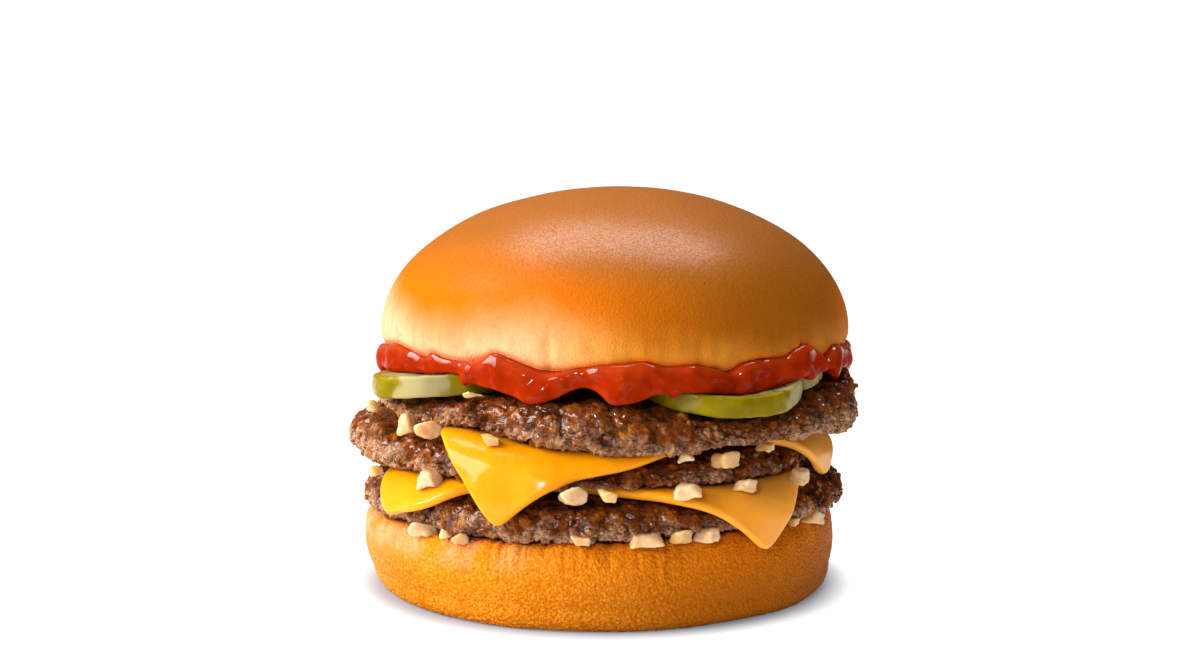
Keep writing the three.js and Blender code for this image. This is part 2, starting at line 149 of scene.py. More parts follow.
# Oval slices: the middle, the size, the turn and the thickness, and the azimuth and half width of the patch
# where the rind is pared off. The right slice is cut off by the one beside it, so its grid is centred on a
# hub, given from its middle, that lies clear of the cut.
PICKLES = {
    "pickle_front_left": {
        "x": -30.7, "y": -24, "length": 30, "width": 28, "turn": 20, "thickness": 4.3, "bare": (-16, 36),
    },
    "pickle_front_right": {
        "x": 22.5, "y": -33.5, "length": 33, "width": 30, "turn": -20, "thickness": 4.1, "bare": (70, 30),
    },
    "pickle_right": {
        "x": 33.8, "y": -21.8, "length": 22, "width": 22, "turn": 0, "thickness": 3.0, "bare": (33, 36),
        "beside": "pickle_front_right", "hub": (3.5, 3.6),
    },
    "pickle_back": {
        "x": -4, "y": 30, "length": 31, "width": 28.5, "turn": 65, "thickness": 3.6, "bare": (160, 35),
    },
}
# The gaps between a slice and the patty below, and between a slice and the one that cuts it off.
PICKLE_LIFT = 0.3
PICKLE_GAP = 0.7

# The ketchup's upper and lower edges round the crown's axis: azimuth and height.
KETCHUP_TOP = [
    (-92, 50.6), (-82, 50.9), (-71, 52.2), (-62, 52.9), (-56, 52.2), (-50.5, 51.2), (-46.5, 52.1),
    (-43, 51.3), (-34.5, 50.9), (-31.5, 51.9), (-27.7, 53), (-23.5, 52.1), (-18.5, 50.5), (-13, 50),
    (-7.6, 51), (-4.5, 51.2), (2.4, 51.8), (6.2, 52.2), (11, 51), (17, 51.3), (22, 50.4), (26, 49.7),
    (29, 51.1), (35, 51.8), (41, 51.5), (44, 53), (47.4, 53.7), (53, 52.1), (57, 50.1), (60.5, 52.4),
    (65, 52.3), (74, 51.4), (84, 50.4), (96, 51.7), (110, 50.2), (122, 51.4), (135, 52.4), (147, 50.6),
    (158, 51.6), (170, 52.7), (184, 50.7), (195, 51.8), (208, 50.4), (222, 52.5), (234, 51.2), (246, 50.2),
    (257, 51.9),
]
KETCHUP_HEM = [
    (-92, 47), (-81, 45.8), (-70, 46.4), (-58, 47.8), (-42, 48.4), (-38, 47.7), (-33, 46.8), (-27, 46.1),
    (-23, 45.1), (-19.3, 44.1), (-16.4, 44.3), (-13, 45.2), (-10, 46.4), (-7.2, 46.9), (-4.6, 46.3),
    (-2.8, 45.2), (-1.2, 44.3), (2.3, 44.2), (5, 44.7), (8.5, 45.8), (20, 45.2), (36, 45.6), (44, 46.6),
    (50, 46.9), (56.5, 44.9), (61.5, 45.5), (68, 47.2), (80, 46.4), (92, 44.8), (104, 46.8), (119, 44.3),
    (131, 46.9), (146, 44.7), (160, 47), (176, 45.8), (190, 45.4), (203, 47), (221, 44.4), (237, 46.6),
    (258, 44.9),
]
# Radii of the ketchup's rings on its upper and lower side, and of the ring under the crown's lip.
KETCHUP_UPPER_RINGS = [0, 20, 36, 42, 45, 46.5]
KETCHUP_LOWER_RINGS = [46, 44, 40, 30, 15, 0]
KETCHUP_LIP_RING = 47.6

# Dice at each level of the stack.
ONION_LEVELS = {"heel": 16, "lower": 11, "middle": 10, "upper": 1}
# Dice that are shaped or lie a little otherwise than their CAD blocks: share of the sizes, and the shift.
ODD_DICE = {
    "onion_upper_1": ((0.75, 0.75, 0.4), (0, 0, 0)),
    "onion_middle_1": ((1.25, 1.25, 1.15), (-1.8, -2.5, -0.2)),
    "onion_lower_8": ((0.6, 0.8, 0.8), (-1.5, 1, 0)),
}

# Columns of the grid of each kind of piece, evenly spaced round it.
COLUMNS = {"crown": 560, "heel": 900, "patty": 1100, "cheese": 560, "pickle": 160, "ketchup": 900}
# Columns and rows of the chunks.
DIE_GRID = (44, 31)
CRUMB_GRID = (9, 7)

# Crumbs on each patty, and the rows at either end of its grid that have none.
CRUMBS = 150
BARE_ROWS = 22
CRUMB_TRAITS = {"seared": 0.1, "relief": 0.5, "tone": 0.5}


# ---- Noise ----

# Odd numbers that spread and stir the bits of a lattice point's coordinates.
SPREAD, STIR = np.uint32(0x9E3779B1), np.uint32(0x85EBCA77)
DIRECTIONS = np.random.default_rng(3).normal(size=(64, 3))
DIRECTIONS /= np.linalg.norm(DIRECTIONS, axis=1, keepdims=True)


def scramble(lattice, seed):
    """A whole number for each lattice point: its coordinates are multiplied, shifted and mixed in turn."""
    mixed = np.full(lattice.shape[:-1], seed, np.uint32)
    for axis in range(3):
        mixed ^= lattice[..., axis].astype(np.int64).astype(np.uint32)
        mixed *= SPREAD
        mixed ^= mixed >> np.uint32(15)
        mixed *= STIR
        mixed ^= mixed >> np.uint32(13)
    return mixed


def swell(points, cell, seed=0):
    """Smooth noise from about -1 to 1: each corner of a cube of side cell has a slope in its own
    direction, and the slopes are blended across the cube."""
    place = points / cell
    base = np.floor(place)
    share = place - base
    fade = share**3 * (share * (share * 6 - 15) + 10)
    total = np.zeros(points.shape[:-1])
    for corner in itertools.product((0, 1), repeat=3):
        step = np.array(corner)
        slope = DIRECTIONS[scramble(base + step, seed) % len(DIRECTIONS)]
        weight = np.prod(np.where(step == 1, fade, 1 - fade), axis=-1)
        total += weight * np.sum((share - step) * slope, axis=-1)
    return total * 1.7


def grains(points, cell, seed=0):
    """Distances, in cells, to the nearest and the second nearest of points scattered one to a cube, and
    the nearest one's own tone from 0 to 1."""
    place = points / cell
    base = np.floor(place)
    first = np.full(points.shape[:-1], 9.0)
    second, tone = first.copy(), first.copy()
    for offset in itertools.product((-1, 0, 1), repeat=3):
        corner = base + np.array(offset)
        mixed = scramble(corner, seed)
        jitter = np.stack([(mixed >> np.uint32(s)) % np.uint32(1024) / 1024 for s in (0, 10, 20)], axis=-1)
        away = np.linalg.norm(corner + jitter - place, axis=-1)
        tone = np.where(away < first, (mixed >> np.uint32(5)) % np.uint32(256) / 255, tone)
        second = np.minimum(second, np.maximum(first, away))
        first = np.minimum(first, away)
    return first, second, tone


def lumps(points, cell, seed=0):
    """Packed lumps: a dome round each scattered point, which falls off sharply where two are equally
    near. Gives the height from 0 to 1, and each lump's own tone."""
    first, second, tone = grains(points, cell, seed)
    return smooth(second - first, -0.05, 0.3) * np.clip(1 - 0.55 * first**2, 0, 1), tone


# ---- Curves ----


def lerp(low, high, share):
    """The value at a share of the way from low to high."""
    return low + (high - low) * share


def smooth(value, low, high):
    """0 below low, 1 above high, and an S curve between them."""
    share = np.clip((value - low) / (high - low), 0, 1)
    return share * share * (3 - 2 * share)


def turn_between(azimuth, at):
    """The signed angle from an azimuth in degrees to each azimuth in radians."""
    turn = azimuth - np.radians(at)
    return np.arctan2(np.sin(turn), np.cos(turn))


def lobe(azimuth, at, half):
    """A squared cosine, 1 at its azimuth and 0 at its half width and beyond."""
    share = np.abs(turn_between(azimuth, at)) / np.radians(half)
    return np.where(share < 1, np.cos(np.minimum(share, 1) * np.pi / 2) ** 2, 0)


def ripple(azimuth, waves):
    """A sum of cosines, each count, size and phase."""
    return sum(size * np.cos(count * azimuth + phase) for count, size, phase in waves)


def round_curve(azimuth, points):
    """A closed curve through heights at azimuths in degrees: between two of them it is the cubic whose
    slope at each is that of the line between its two neighbours."""
    at = np.radians([point[0] for point in points])
    value = np.array([point[1] for point in points], float)
    at = np.concatenate([at[-2:] - 2 * np.pi, at, at[:3] + 2 * np.pi])
    value = np.concatenate([value[-2:], value, value[:3]])
    slope = np.zeros_like(value)
    slope[1:-1] = (value[2:] - value[:-2]) / (at[2:] - at[:-2])
    turn = (azimuth - at[1]) % (2 * np.pi) + at[1]
    i = np.clip(np.searchsorted(at, turn, side="right") - 1, 1, len(at) - 3)
    span = at[i + 1] - at[i]
    t = (turn - at[i]) / span
    return (
        value[i] * (1 + 2 * t) * (1 - t) ** 2 + value[i + 1] * t * t * (3 - 2 * t)
        + span * (slope[i] * t * (1 - t) ** 2 - slope[i + 1] * t * t * (1 - t))
    )


def face(spec, x, y):
    """The height of a face: its middle height, its slope, and its rolls towards the rim."""
    height, slope, rolls = spec
    reach, azimuth = np.hypot(x, y), np.arctan2(x, -y)
    lifts = sum(
        lift * smooth(reach, start, ROLL_END) * lobe(azimuth, at, half) for at, half, lift, start in rolls)
    return height + slope * x + lifts


def round_grid(columns):
    """Evenly spaced azimuths as a row, for a grid of rows by columns."""
    return np.arange(columns)[None, :] * 2 * np.pi / columns


def arc(first, last, steps):
    """Evenly spaced angles, from one in degrees to another."""
    return np.radians(np.linspace(first, last, steps))


def stacked(azimuth, *parts):
    """Rows of a grid, one part under another. A part that is the same all the way round is repeated."""
    return np.concatenate([np.broadcast_to(part, (np.shape(part)[0], azimuth.size)) for part in parts])


def polar(azimuth, radius, height, x=0.0, y=0.0):
    """Points at a radius and an azimuth round an upright axis, at a height."""
    shape = np.broadcast_shapes(np.shape(azimuth), np.shape(radius), np.shape(height))
    return np.stack([
        np.broadcast_to(x + radius * np.sin(azimuth), shape),
        np.broadcast_to(y - radius * np.cos(azimuth), shape),
        np.broadcast_to(height, shape),
    ], axis=-1)


def outward(points):
    """Unit normals of a closed grid: the cross product of the steps along its columns and rows."""
    along = np.roll(points, -1, axis=1) - np.roll(points, 1, axis=1)
    down = np.gradient(points, axis=0)
    normal = np.cross(down, along)
    normal[0], normal[-1] = (0, 0, 1), (0, 0, -1)
    return normal / np.maximum(np.linalg.norm(normal, axis=-1, keepdims=True), 1e-9)


def raised(points, relief):
    """The points of a grid moved along their normals by a relief."""
    return points + outward(points) * relief[..., None]


# ---- Meshes ----


def closed_faces(rows, columns):
    """The corners of the quads between two rings, and of the triangles round each pole."""
    ring = np.arange(columns)
    following = (ring + 1) % columns
    starts = 1 + np.arange(rows - 3)[:, None] * columns
    below = starts + columns
    quads = np.stack([starts + ring, below + ring, below + following, starts + following], -1)
    last = 1 + (rows - 3) * columns
    bottom = 1 + (rows - 2) * columns
    top_fan = np.stack([np.zeros(columns, int), 1 + ring, 1 + following], -1)
    bottom_fan = np.stack([np.full(columns, bottom), last + following, last + ring], -1)
    return quads.reshape(-1, 4), np.concatenate([top_fan, bottom_fan])


def skin(grid):
    """One value or point for each vertex: the top pole, the rings in turn, and the bottom pole."""
    rings = grid[1:-1].reshape(-1, *grid.shape[2:])
    return np.concatenate([grid[:1, 0], rings, grid[-1:, 0]])


def grid_mesh(parts):
    """Vertices, quads, triangles and per-vertex traits of several closed grids, each given with its own
    traits, which may be the same for a whole row, column or grid."""
    vertices, quads, triangles, traits = [], [], [], {}
    start = 0
    for grid, values in parts:
        quad, triangle = closed_faces(*grid.shape[:2])
        vertices.append(skin(grid))
        quads.append(quad + start)
        triangles.append(triangle + start)
        start += len(vertices[-1])
        for name, value in values.items():
            traits.setdefault(name, []).append(skin(np.broadcast_to(value, grid.shape[:2])))
    named = {name: np.concatenate(values) for name, values in traits.items()}
    return np.concatenate(vertices), np.concatenate(quads), np.concatenate(triangles), named


def add_object(name, data):
    """Puts an object into the scene."""
    item = bpy.data.objects.new(name, data)
    bpy.context.scene.collection.objects.link(item)
    return item


def add_piece(name, parts, material, replaced):
    """Makes a smooth closed mesh from grids in millimetres, and puts it in place of CAD nodes."""
    vertices, quads, triangles, named = grid_mesh(parts)
    mesh = bpy.data.meshes.new(name)
    mesh.vertices.add(len(vertices))
    mesh.vertices.foreach_set("co", (vertices * MM).astype(np.float32).ravel())
    corners = np.concatenate([quads.ravel(), triangles.ravel()])
    mesh.loops.add(len(corners))
    mesh.loops.foreach_set("vertex_index", corners.astype(np.int32))
    starts = np.concatenate([
        np.arange(len(quads)) * 4,
        len(quads) * 4 + np.arange(len(triangles)) * 3,
    ])
    mesh.polygons.add(len(starts))
    mesh.polygons.foreach_set("loop_start", starts.astype(np.int32))
    for trait, values in named.items():
        mesh.attributes.new(trait, "FLOAT", "POINT").data.foreach_set("value", values.astype(np.float32))
    mesh.update(calc_edges=True)
    if mesh.validate():
        raise RuntimeError(f"{name} has faces that Blender had to repair")
    mesh.shade_smooth()
    mesh.materials.append(material)
    piece = add_object(name, mesh)
    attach(piece, "root")
    if replaced:
        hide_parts(*replaced)


# ---- Shader maths ----


class Signal:
    """A node's output. Arithmetic on signals and numbers adds Math nodes."""

    def __init__(self, graph, socket):
        self.graph = graph
        self.socket = socket

    def math(self, operation, first, second):
        return self.graph.add("ShaderNodeMath", {"operation": operation}, {0: first, 1: second})

    def __add__(self, other):
        return self.math("ADD", self, other)

    __radd__ = __add__

    def __sub__(self, other):
        return self.math("SUBTRACT", self, other)

    def __rsub__(self, other):
        return self.math("SUBTRACT", other, self)

    def __mul__(self, other):
        return self.math("MULTIPLY", self, other)

    __rmul__ = __mul__

    def over(self, low, high):
        """0 below low, 1 above high, and an S curve between them."""
        inputs = {"Value": self, "From Min": low, "From Max": high}
        return self.graph.add("ShaderNodeMapRange", {"interpolation_type": "SMOOTHSTEP"}, inputs)


class Nodes:
    """A node tree, with one way to add any node."""

    def __init__(self, tree):
        self.tree = tree

    def feed(self, node, inputs):
        """Sets or links a node's sockets, each by its number, or by its name among those in use. Colours
        are given without their alpha."""
        for key, value in inputs.items():
            named = [socket for socket in node.inputs if socket.enabled and socket.name == key]
            socket = node.inputs[key] if isinstance(key, int) else named[0]
            if isinstance(value, Signal):
                self.tree.links.new(value.socket, socket)
            else:
                socket.default_value = (*value, 1) if socket.type == "RGBA" else value

    def add(self, kind, settings, inputs, output=None):
        """Adds a node of a type, its settings first, and gives its named or its first output in use."""
        node = self.tree.nodes.new(kind)
        for key, value in settings.items():
            setattr(node, key, value)
        self.feed(node, inputs)
        return Signal(self, next(s for s in node.outputs if s.enabled and output in (None, s.name)))


class Graph(Nodes):
    """The nodes of one material. The sockets of its shader are named with underscores for spaces."""

    def __init__(self, name, **constants):
        self.material = bpy.data.materials.new(name)
        self.material.use_nodes = True
        super().__init__(self.material.node_tree)
        self.shade(**constants)
        place = self.add("ShaderNodeTexCoord", {}, {}, "Object")
        self.place = self.add("ShaderNodeVectorMath", {"operation": "SCALE"}, {0: place, "Scale": 1 / MM})

    def shade(self, **inputs):
        """Feeds the material's shader, and gives the material."""
        shader = self.tree.nodes["Principled BSDF"]
        self.feed(shader, {key.replace("_", " "): value for key, value in inputs.items()})
        return self.material

    def axis(self, name):
        """One coordinate of the place, in millimetres."""
        return self.add("ShaderNodeSeparateXYZ", {}, {0: self.place}, name)

    def mix(self, share, first, second):
        """A colour between two colours."""
        settings = {"data_type": "RGBA", "clamp_factor": True}
        return self.add("ShaderNodeMix", settings, {"Factor": share, "A": first, "B": second})

    def stretched(self, x, y, z):
        """The place with each axis scaled."""
        return self.add("ShaderNodeVectorMath", {"operation": "MULTIPLY"}, {0: self.place, 1: (x, y, z)})

    def noise(self, size, detail=2.0, roughness=0.5, place=None, distortion=0.0):
        """Smooth noise from 0 to 1 with features of a size in millimetres."""
        inputs = {
            "Vector": place or self.place, "Scale": 1 / size, "Detail": detail, "Roughness": roughness,
            "Distortion": distortion,
        }
        return self.add("ShaderNodeTexNoise", {}, inputs, "Fac")

    def cells(self, size):
        """The distance to the nearest of scattered points, in cells of a size in millimetres."""
        return self.add("ShaderNodeTexVoronoi", {}, {"Vector": self.place, "Scale": 1 / size}, "Distance")

    def trait(self, name):
        """A value that the mesh carries at each vertex."""
        return self.add("ShaderNodeAttribute", {"attribute_name": name}, {}, "Fac")

    def bump(self, height, depth, strength):
        """Gives the shader the normals of a relief of a depth in millimetres."""
        inputs = {"Height": height, "Distance": depth * MM, "Strength": strength}
        self.shade(Normal=self.add("ShaderNodeBump", {}, inputs))


# ---- Settings ----


def colour_property(name, description, default):
    """A colour setting."""
    return FloatVectorProperty(
        name=name, description=description, default=default, size=3, min=0, max=1, subtype="COLOR")


def length_property(name, description, millimetres):
    """A length setting, kept in metres."""
    return FloatProperty(
        name=name, description=description, default=millimetres * MM, min=0, subtype="DISTANCE",
        unit="LENGTH", precision=5)


def power_property(name, description, watts):
    """A light's power setting."""
    return FloatProperty(
        name=name, description=description, default=watts, min=0, subtype="POWER", unit="POWER")


def group_property(name, description, group):
    """The settings of one group."""
    return PointerProperty(name=name, description=description, type=group)


class BURGER_PG_buns(bpy.types.PropertyGroup):
    pebble_depth: length_property("Pebble depth", "Height of the fine pebbles on the heel's crust", 0.22)
    pebble_size: length_property("Pebble size", "Distance between the pebbles of the heel's crust", 0.85)
    dimple_depth: length_property("Dimple depth", "Height of the shallow unevenness of the crown", 0.35)
    dark: colour_property("Dark crust", "Colour of the top of the crown", (0.30, 0.086, 0.004))
    golden: colour_property("Golden crust", "Colour of the sides of the crown", (0.61, 0.124, 0.0006))
    # The palest crust is painted light: it whitens the left of the crown's band, the heel's left edge and the
    # heel's band under the cut edge.
    pale: colour_property("Pale crust", "Colour of the left of the band above the cut", (0.78, 0.385, 0.2))
    light: colour_property("Light crust", "Colour of the rest of the band above the cut", (0.70, 0.285, 0.03))
    heel_crust: colour_property("Heel crust", "Colour of the heel's sides", (0.74, 0.205, 0.003))
    # Colour of the darker right side, a painted shade, and of random patches; it is not used between the
    # pebbles.
    heel_dark: colour_property("Heel hollows", "Colour between the heel's pebbles", (0.56, 0.13, 0.001))
    # Colour of the paler pebble tips, a painted highlight.
    heel_pale: colour_property("Heel pale", "Colour of the tips of the heel's pebbles", (0.78, 0.33, 0.04))


class BURGER_PG_beef(bpy.types.PropertyGroup):
    clump_size: length_property("Clump size", "Distance between the ridges of the ground beef", 3.6)
    clump_depth: length_property("Clump depth", "Height of the ridges of the ground beef", 1.4)
    crumb_size: length_property("Crumb size", "Half the size of the largest crumbs", 1.0)
    seared: colour_property("Seared beef", "Colour of the browned faces", (0.14, 0.031, 0.005))
    cooked: colour_property("Cooked beef", "Colour of the grey-brown sides", (0.58, 0.33, 0.18))
    charred: colour_property("Charred beef", "Colour of the darkest patches", (0.030, 0.008, 0.003))
    fat: colour_property("Browned fat", "Colour of the amber specks", (0.40, 0.115, 0.010))


class BURGER_PG_cheese(bpy.types.PropertyGroup):
    thickness: length_property("Thickness", "Thickness of a cheese slice", 2.0)
    corner_power: FloatProperty(
        name="Corner sharpness", description="How sharp the corners of a slice are", default=26, min=2)
    colour: colour_property("Cheese", "Colour of the melted cheese", (0.86, 0.285, 0.0005))
    thin: colour_property("Thin cheese", "Colour of the paler patches", (0.90, 0.32, 0.004))
    # The pale cheese is painted light: it makes the slices paler towards the right, where they lie in shade.
    pale: colour_property("Pale cheese", "Colour of the cheese on the right", (1.0, 0.385, 0.05))


class BURGER_PG_pickles(bpy.types.PropertyGroup):
    bevel: length_property("Bevel", "Radius of the round edges of a slice", 0.7)
    flesh: colour_property("Flesh", "Colour of the middle of a slice", (0.37, 0.315, 0.14))
    rind: colour_property("Rind", "Colour of the rind", (0.175, 0.125, 0.0003))
    lime: colour_property("Light rind", "Colour of the rind's lighter patches", (0.235, 0.175, 0.0003))


class BURGER_PG_ketchup(bpy.types.PropertyGroup):
    thick: length_property("Thickness", "How far the ketchup rolls out past the crown's lip", 3.6)
    colour: colour_property("Ketchup", "Colour of the ketchup", (0.30, 0.0150, 0.0001))
    thin: colour_property("Thin ketchup", "Colour of the ketchup where it is thin", (0.54, 0.055, 0.0005))


class BURGER_PG_onion(bpy.types.PropertyGroup):
    share: FloatProperty(
        name="Die size", description="Share of its CAD box that a die fills", default=0.9, min=0.1, max=1)
    colour: colour_property("Onion", "Colour of the cooked onion", (0.66, 0.485, 0.31))
    soaked: colour_property("Soaked onion", "Colour of the dice that took up juice", (0.56, 0.32, 0.11))


class BURGER_PG_stage(bpy.types.PropertyGroup):
    camera_place: FloatVectorProperty(
        name="Camera place", description="Where the camera stands", default=(-0.00063, -0.3633, 0.0863),
        size=3, subtype="TRANSLATION", unit="LENGTH", precision=5)
    camera_pitch: FloatProperty(
        name="Camera pitch", description="How far the camera looks down", default=0.0935, subtype="ANGLE",
        unit="ROTATION")
    lens: FloatProperty(name="Lens", description="Focal length in millimetres", default=51.2, min=1)
    key: power_property("Key light", "Power of the light from the left", 10.5)
    softbox: power_property("Softbox", "Power of the overhead softbox", 3.1)
    front: power_property("Front light", "Power of the light beside the camera", 1.7)
    ambient: FloatProperty(name="Ambient", description="Strength of the room's light", default=0.3, min=0)


class BURGER_PG_settings(bpy.types.PropertyGroup):
    buns: group_property("Buns", "Sizes and colours of the buns", BURGER_PG_buns)
    beef: group_property("Beef", "Sizes and colours of the patties", BURGER_PG_beef)
    cheese: group_property("Cheese", "Sizes and colours of the slices", BURGER_PG_cheese)
    pickles: group_property("Pickles", "Sizes and colours of the pickles", BURGER_PG_pickles)
    ketchup: group_property("Ketchup", "Size and colours of the ketchup", BURGER_PG_ketchup)
    onion: group_property("Onion", "Size and colours of the onion dice", BURGER_PG_onion)
    stage: group_property("Stage", "Camera and lights", BURGER_PG_stage)


# ---- Buns ----


def crown_side(height):
    """The radius of the crown below its widest ring: it falls with the square of the drop."""
    share = (CROWN["widest_at"] - height) / (CROWN["widest_at"] - CROWN["lip_at"])
    return lerp(CROWN["radius"], CROWN["lip_radius"], share**2)


def crown_cut(radius):
    """The height of the crown's cut face, flat inside and falling to the lip."""
    return lerp(CROWN["cut_height"], CROWN["lip_at"], smooth(radius, CROWN["cut_inner"], CROWN["cut_radius"]))


def creases(azimuth, radius, height, specs):
    """Upright grooves: a bell curve across each, fading out towards the height at which it ends."""
    total = 0
    for at, depth, half, end in specs:
        across = turn_between(azimuth, at) * radius / half
        total = total - depth * np.exp(-(across**2)) * (1 - smooth(height, end - 6, end))
    return total


def ketchup_stain(azimuth, height):
    """How much sauce soaks the crust: whole at the sauce's upper edge, and gone a little above it."""
    return 1 - smooth(height - round_curve(azimuth, KETCHUP_TOP), 0.1, 1.3)


def crown_grid(depth):
    """A quarter ellipse down from the top, the side in to the lip, and the cut. All but the cut is moved
    along its normals by broad noise, low upright streaks and creases. Gives the points and how much sauce
    soaks them."""
    azimuth = round_grid(COLUMNS["crown"])
    turn = arc(90, 0, 116)
    side = np.linspace(CROWN["widest_at"], CROWN["lip_at"] + 0.15, 28)[1:]
    inside = np.array(CROWN["cut_rings"])
    radius = np.concatenate([CROWN["radius"] * np.cos(turn), crown_side(side), inside])[:, None]
    dome = CROWN["widest_at"] + (CROWN["top"] - CROWN["widest_at"]) * np.sin(turn)
    height = np.concatenate([dome, side, crown_cut(inside)])[:, None]
    points = polar(azimuth, radius, height, CROWN["x"])
    points[0, :, :2] = (CROWN["x"], 0)
    uneven = depth * (swell(points, 30, 1) + 0.3 * swell(points, 10, 2) - 1)
    low = 1 - smooth(height, 54, 62)
    streaks = low * 0.14 * swell(points * (1, 1, 0.12), 1.9, 3)
    grooves = creases(azimuth, CROWN["radius"], height, CROWN_CREASES)
    outside = np.arange(len(radius))[:, None] < len(radius) - len(inside)
    return raised(points, (uneven + streaks + grooves) * outside), ketchup_stain(azimuth, height)


def quarter(radius, start, flat_radius, end, steps):
    """Points of a quarter ellipse from its side to its end on the flat."""
    turn = arc(0, 90, steps)
    return np.stack([
        flat_radius + (radius - flat_radius) * np.cos(turn),
        start + (end - start) * np.sin(turn),
    ], axis=-1)


def wrinkles(azimuth, height):
    """Fine upright grooves and ridges below the heel's cut edge, each with its own place, width, depth
    and length, and closer together on the front."""
    random = np.random.default_rng(17)
    count, on_front = 230, 60
    places = np.concatenate([random.uniform(-180, 180, count - on_front), random.normal(-8, 14, on_front)])
    widths = random.uniform(0.22, 0.6, count)
    depths = random.uniform(0.05, 0.3, count) * random.choice([1, 1, -0.7], count)
    lengths = random.gamma(2.4, 1.3, count)
    total = np.zeros(np.broadcast_shapes(azimuth.shape, height.shape))
    for at, width, depth, length in zip(places, widths, depths, lengths):
        across = turn_between(azimuth, at) * HEEL["radius"] / width
        total -= depth * np.exp(-(across**2)) * smooth(height, 15.5 - length, 17 - length * 0.5)
    return total


def heel_grid(size, depth):
    """A rounded shoulder, a bulging side and a rounded base, moved along its normals by pebbles that are
    deepest low down, and by upright wrinkles under the cut edge, but never below the floor. Gives the
    points and the pebbles."""
    azimuth = round_grid(COLUMNS["heel"])
    flat = HEEL["radius"] - HEEL["shoulder"]
    top = np.array([(ring, HEEL["top"]) for ring in HEEL["top_rings"]])
    upper = quarter(HEEL["radius"], HEEL["widest_at"], flat, HEEL["top"], 20)[::-1]
    lower = quarter(HEEL["radius"] - HEEL["taper"], HEEL["base_round"], HEEL["base_radius"], 0, 26)
    drop = np.linspace(0, 1, 32)[1:-1]
    side = np.stack([
        HEEL["radius"] - HEEL["taper"] * drop + HEEL["bulge"] * np.sin(np.pi * drop),
        lerp(HEEL["widest_at"], HEEL["base_round"], drop),
    ], axis=-1)
    base = np.array([(ring, 0) for ring in HEEL["base_rings"]])
    profile = np.concatenate([top, upper, side, lower, base])
    radius, height = profile[:, :1], profile[:, 1:]
    outer = smooth(radius, 30, 46)
    share = height / HEEL["top"]
    lean = HEEL["lean"] * (share - 0.5) * np.sin(azimuth)
    swelled = radius + outer * (ripple(azimuth, HEEL["waves"]) + lean)
    slope = HEEL["slope"] * swelled * np.sin(azimuth) * smooth(share, 0, 1)
    points = polar(azimuth, swelled, height + slope)
    pebbles, _ = lumps(points + 0.3 * swell(points, 1.5, 5)[..., None], size, 6)
    rough = lerp(1.0, 0.3, smooth(points[..., 2], 4, 14))
    uneven = 0.3 * swell(points, 18, 4) + 0.06 * swell(points, 4.5, 8)
    relief = depth * rough * (pebbles - 0.5) + uneven
    relief = (relief + wrinkles(azimuth, points[..., 2])) * outer
    moved = raised(points, relief)
    moved[..., 2] = np.maximum(moved[..., 2], 0)
    return moved, pebbles * outer


# Colours of the crust where the sauce soaks it, and along the heel's cut edge.
SOAKED_CRUST = (0.72, 0.10, 0.004)
CUT_EDGE = (0.74, 0.16, 0.008)


def crown_material(buns):
    """Baked crust: dark brown on top, golden down the sides and pale above the cut, with fine pores, a gloss
    on top, and a stain where the sauce touches it. Painted light: the crust browns further towards the right
    as painted shade and less at the far right rim as a painted rim light, and the pale band reaches higher
    and is palest on the left as painted light."""
    graph = Graph("crown_crust", Specular_IOR_Level=0.015, IOR=1.45, Coat_Roughness=0.32)
    level, across = graph.axis("Z"), graph.axis("X")
    uneven = level + (graph.noise(24, 2) - 0.5) * 9 + (graph.noise(7, 4, 0.6) - 0.5) * 4
    specks = graph.noise(0.42, 3, 0.75)
    # Painted shade: the crust browns further towards the right, away from the light, and less at the far
    # right rim, a painted rim light; the browning on top is the crust's own colour.
    baking = uneven.over(60, 80) + across.over(-34, 42) * 0.9 - across.over(44, 52) * 0.6
    browned = graph.mix(baking.over(0, 1), buns.golden, buns.dark)
    # Painted light: the pale band reaches higher on the left, where the light falls, and stays lower on the
    # right, in shade.
    edge = uneven + across.over(-46, -32) * 7.5 - across.over(-30, -20) * 1.6 + across.over(-16, 20) * 6 - 4.6
    # Painted light: the band's palest, whitish colour on the left.
    light = graph.mix(across.over(-22, 8), buns.pale, buns.light)
    baked = graph.mix(1 - edge.over(53, 66), browned, light)
    speckled = specks.over(0.52, 0.62) * (level.over(56, 72) * 0.55 + 0.12)
    blotches = graph.noise(3.2, 3, 0.6).over(0.5, 0.75) * (baking.over(0.3, 1) * 0.2 + 0.2)
    mottled = graph.mix(speckled + blotches, baked, buns.dark)
    streaks = graph.noise(1.5, 2, 0.5, graph.stretched(1, 1, 0.1))
    band = 1 - level.over(54, 62)
    shaded = graph.mix(streaks.over(0.5, 0.8) * band * 0.25, mottled, buns.golden)
    stained = graph.mix(graph.trait("stain") * 0.65, shaded, SOAKED_CRUST)
    pores = graph.cells(0.5)
    graph.bump(specks + pores * 1.1 + 0.6 * graph.noise(1.7, 2), 0.12, 0.7)
    left = across.over(-42, -20) * 0.85 + 0.15
    gloss = level.over(62, 72) * left * (0.14 + (1 - specks.over(0.42, 0.58)) * 0.64)
    return graph.shade(Base_Color=stained, Roughness=specks * 0.3 + 0.35, Coat_Weight=gloss)


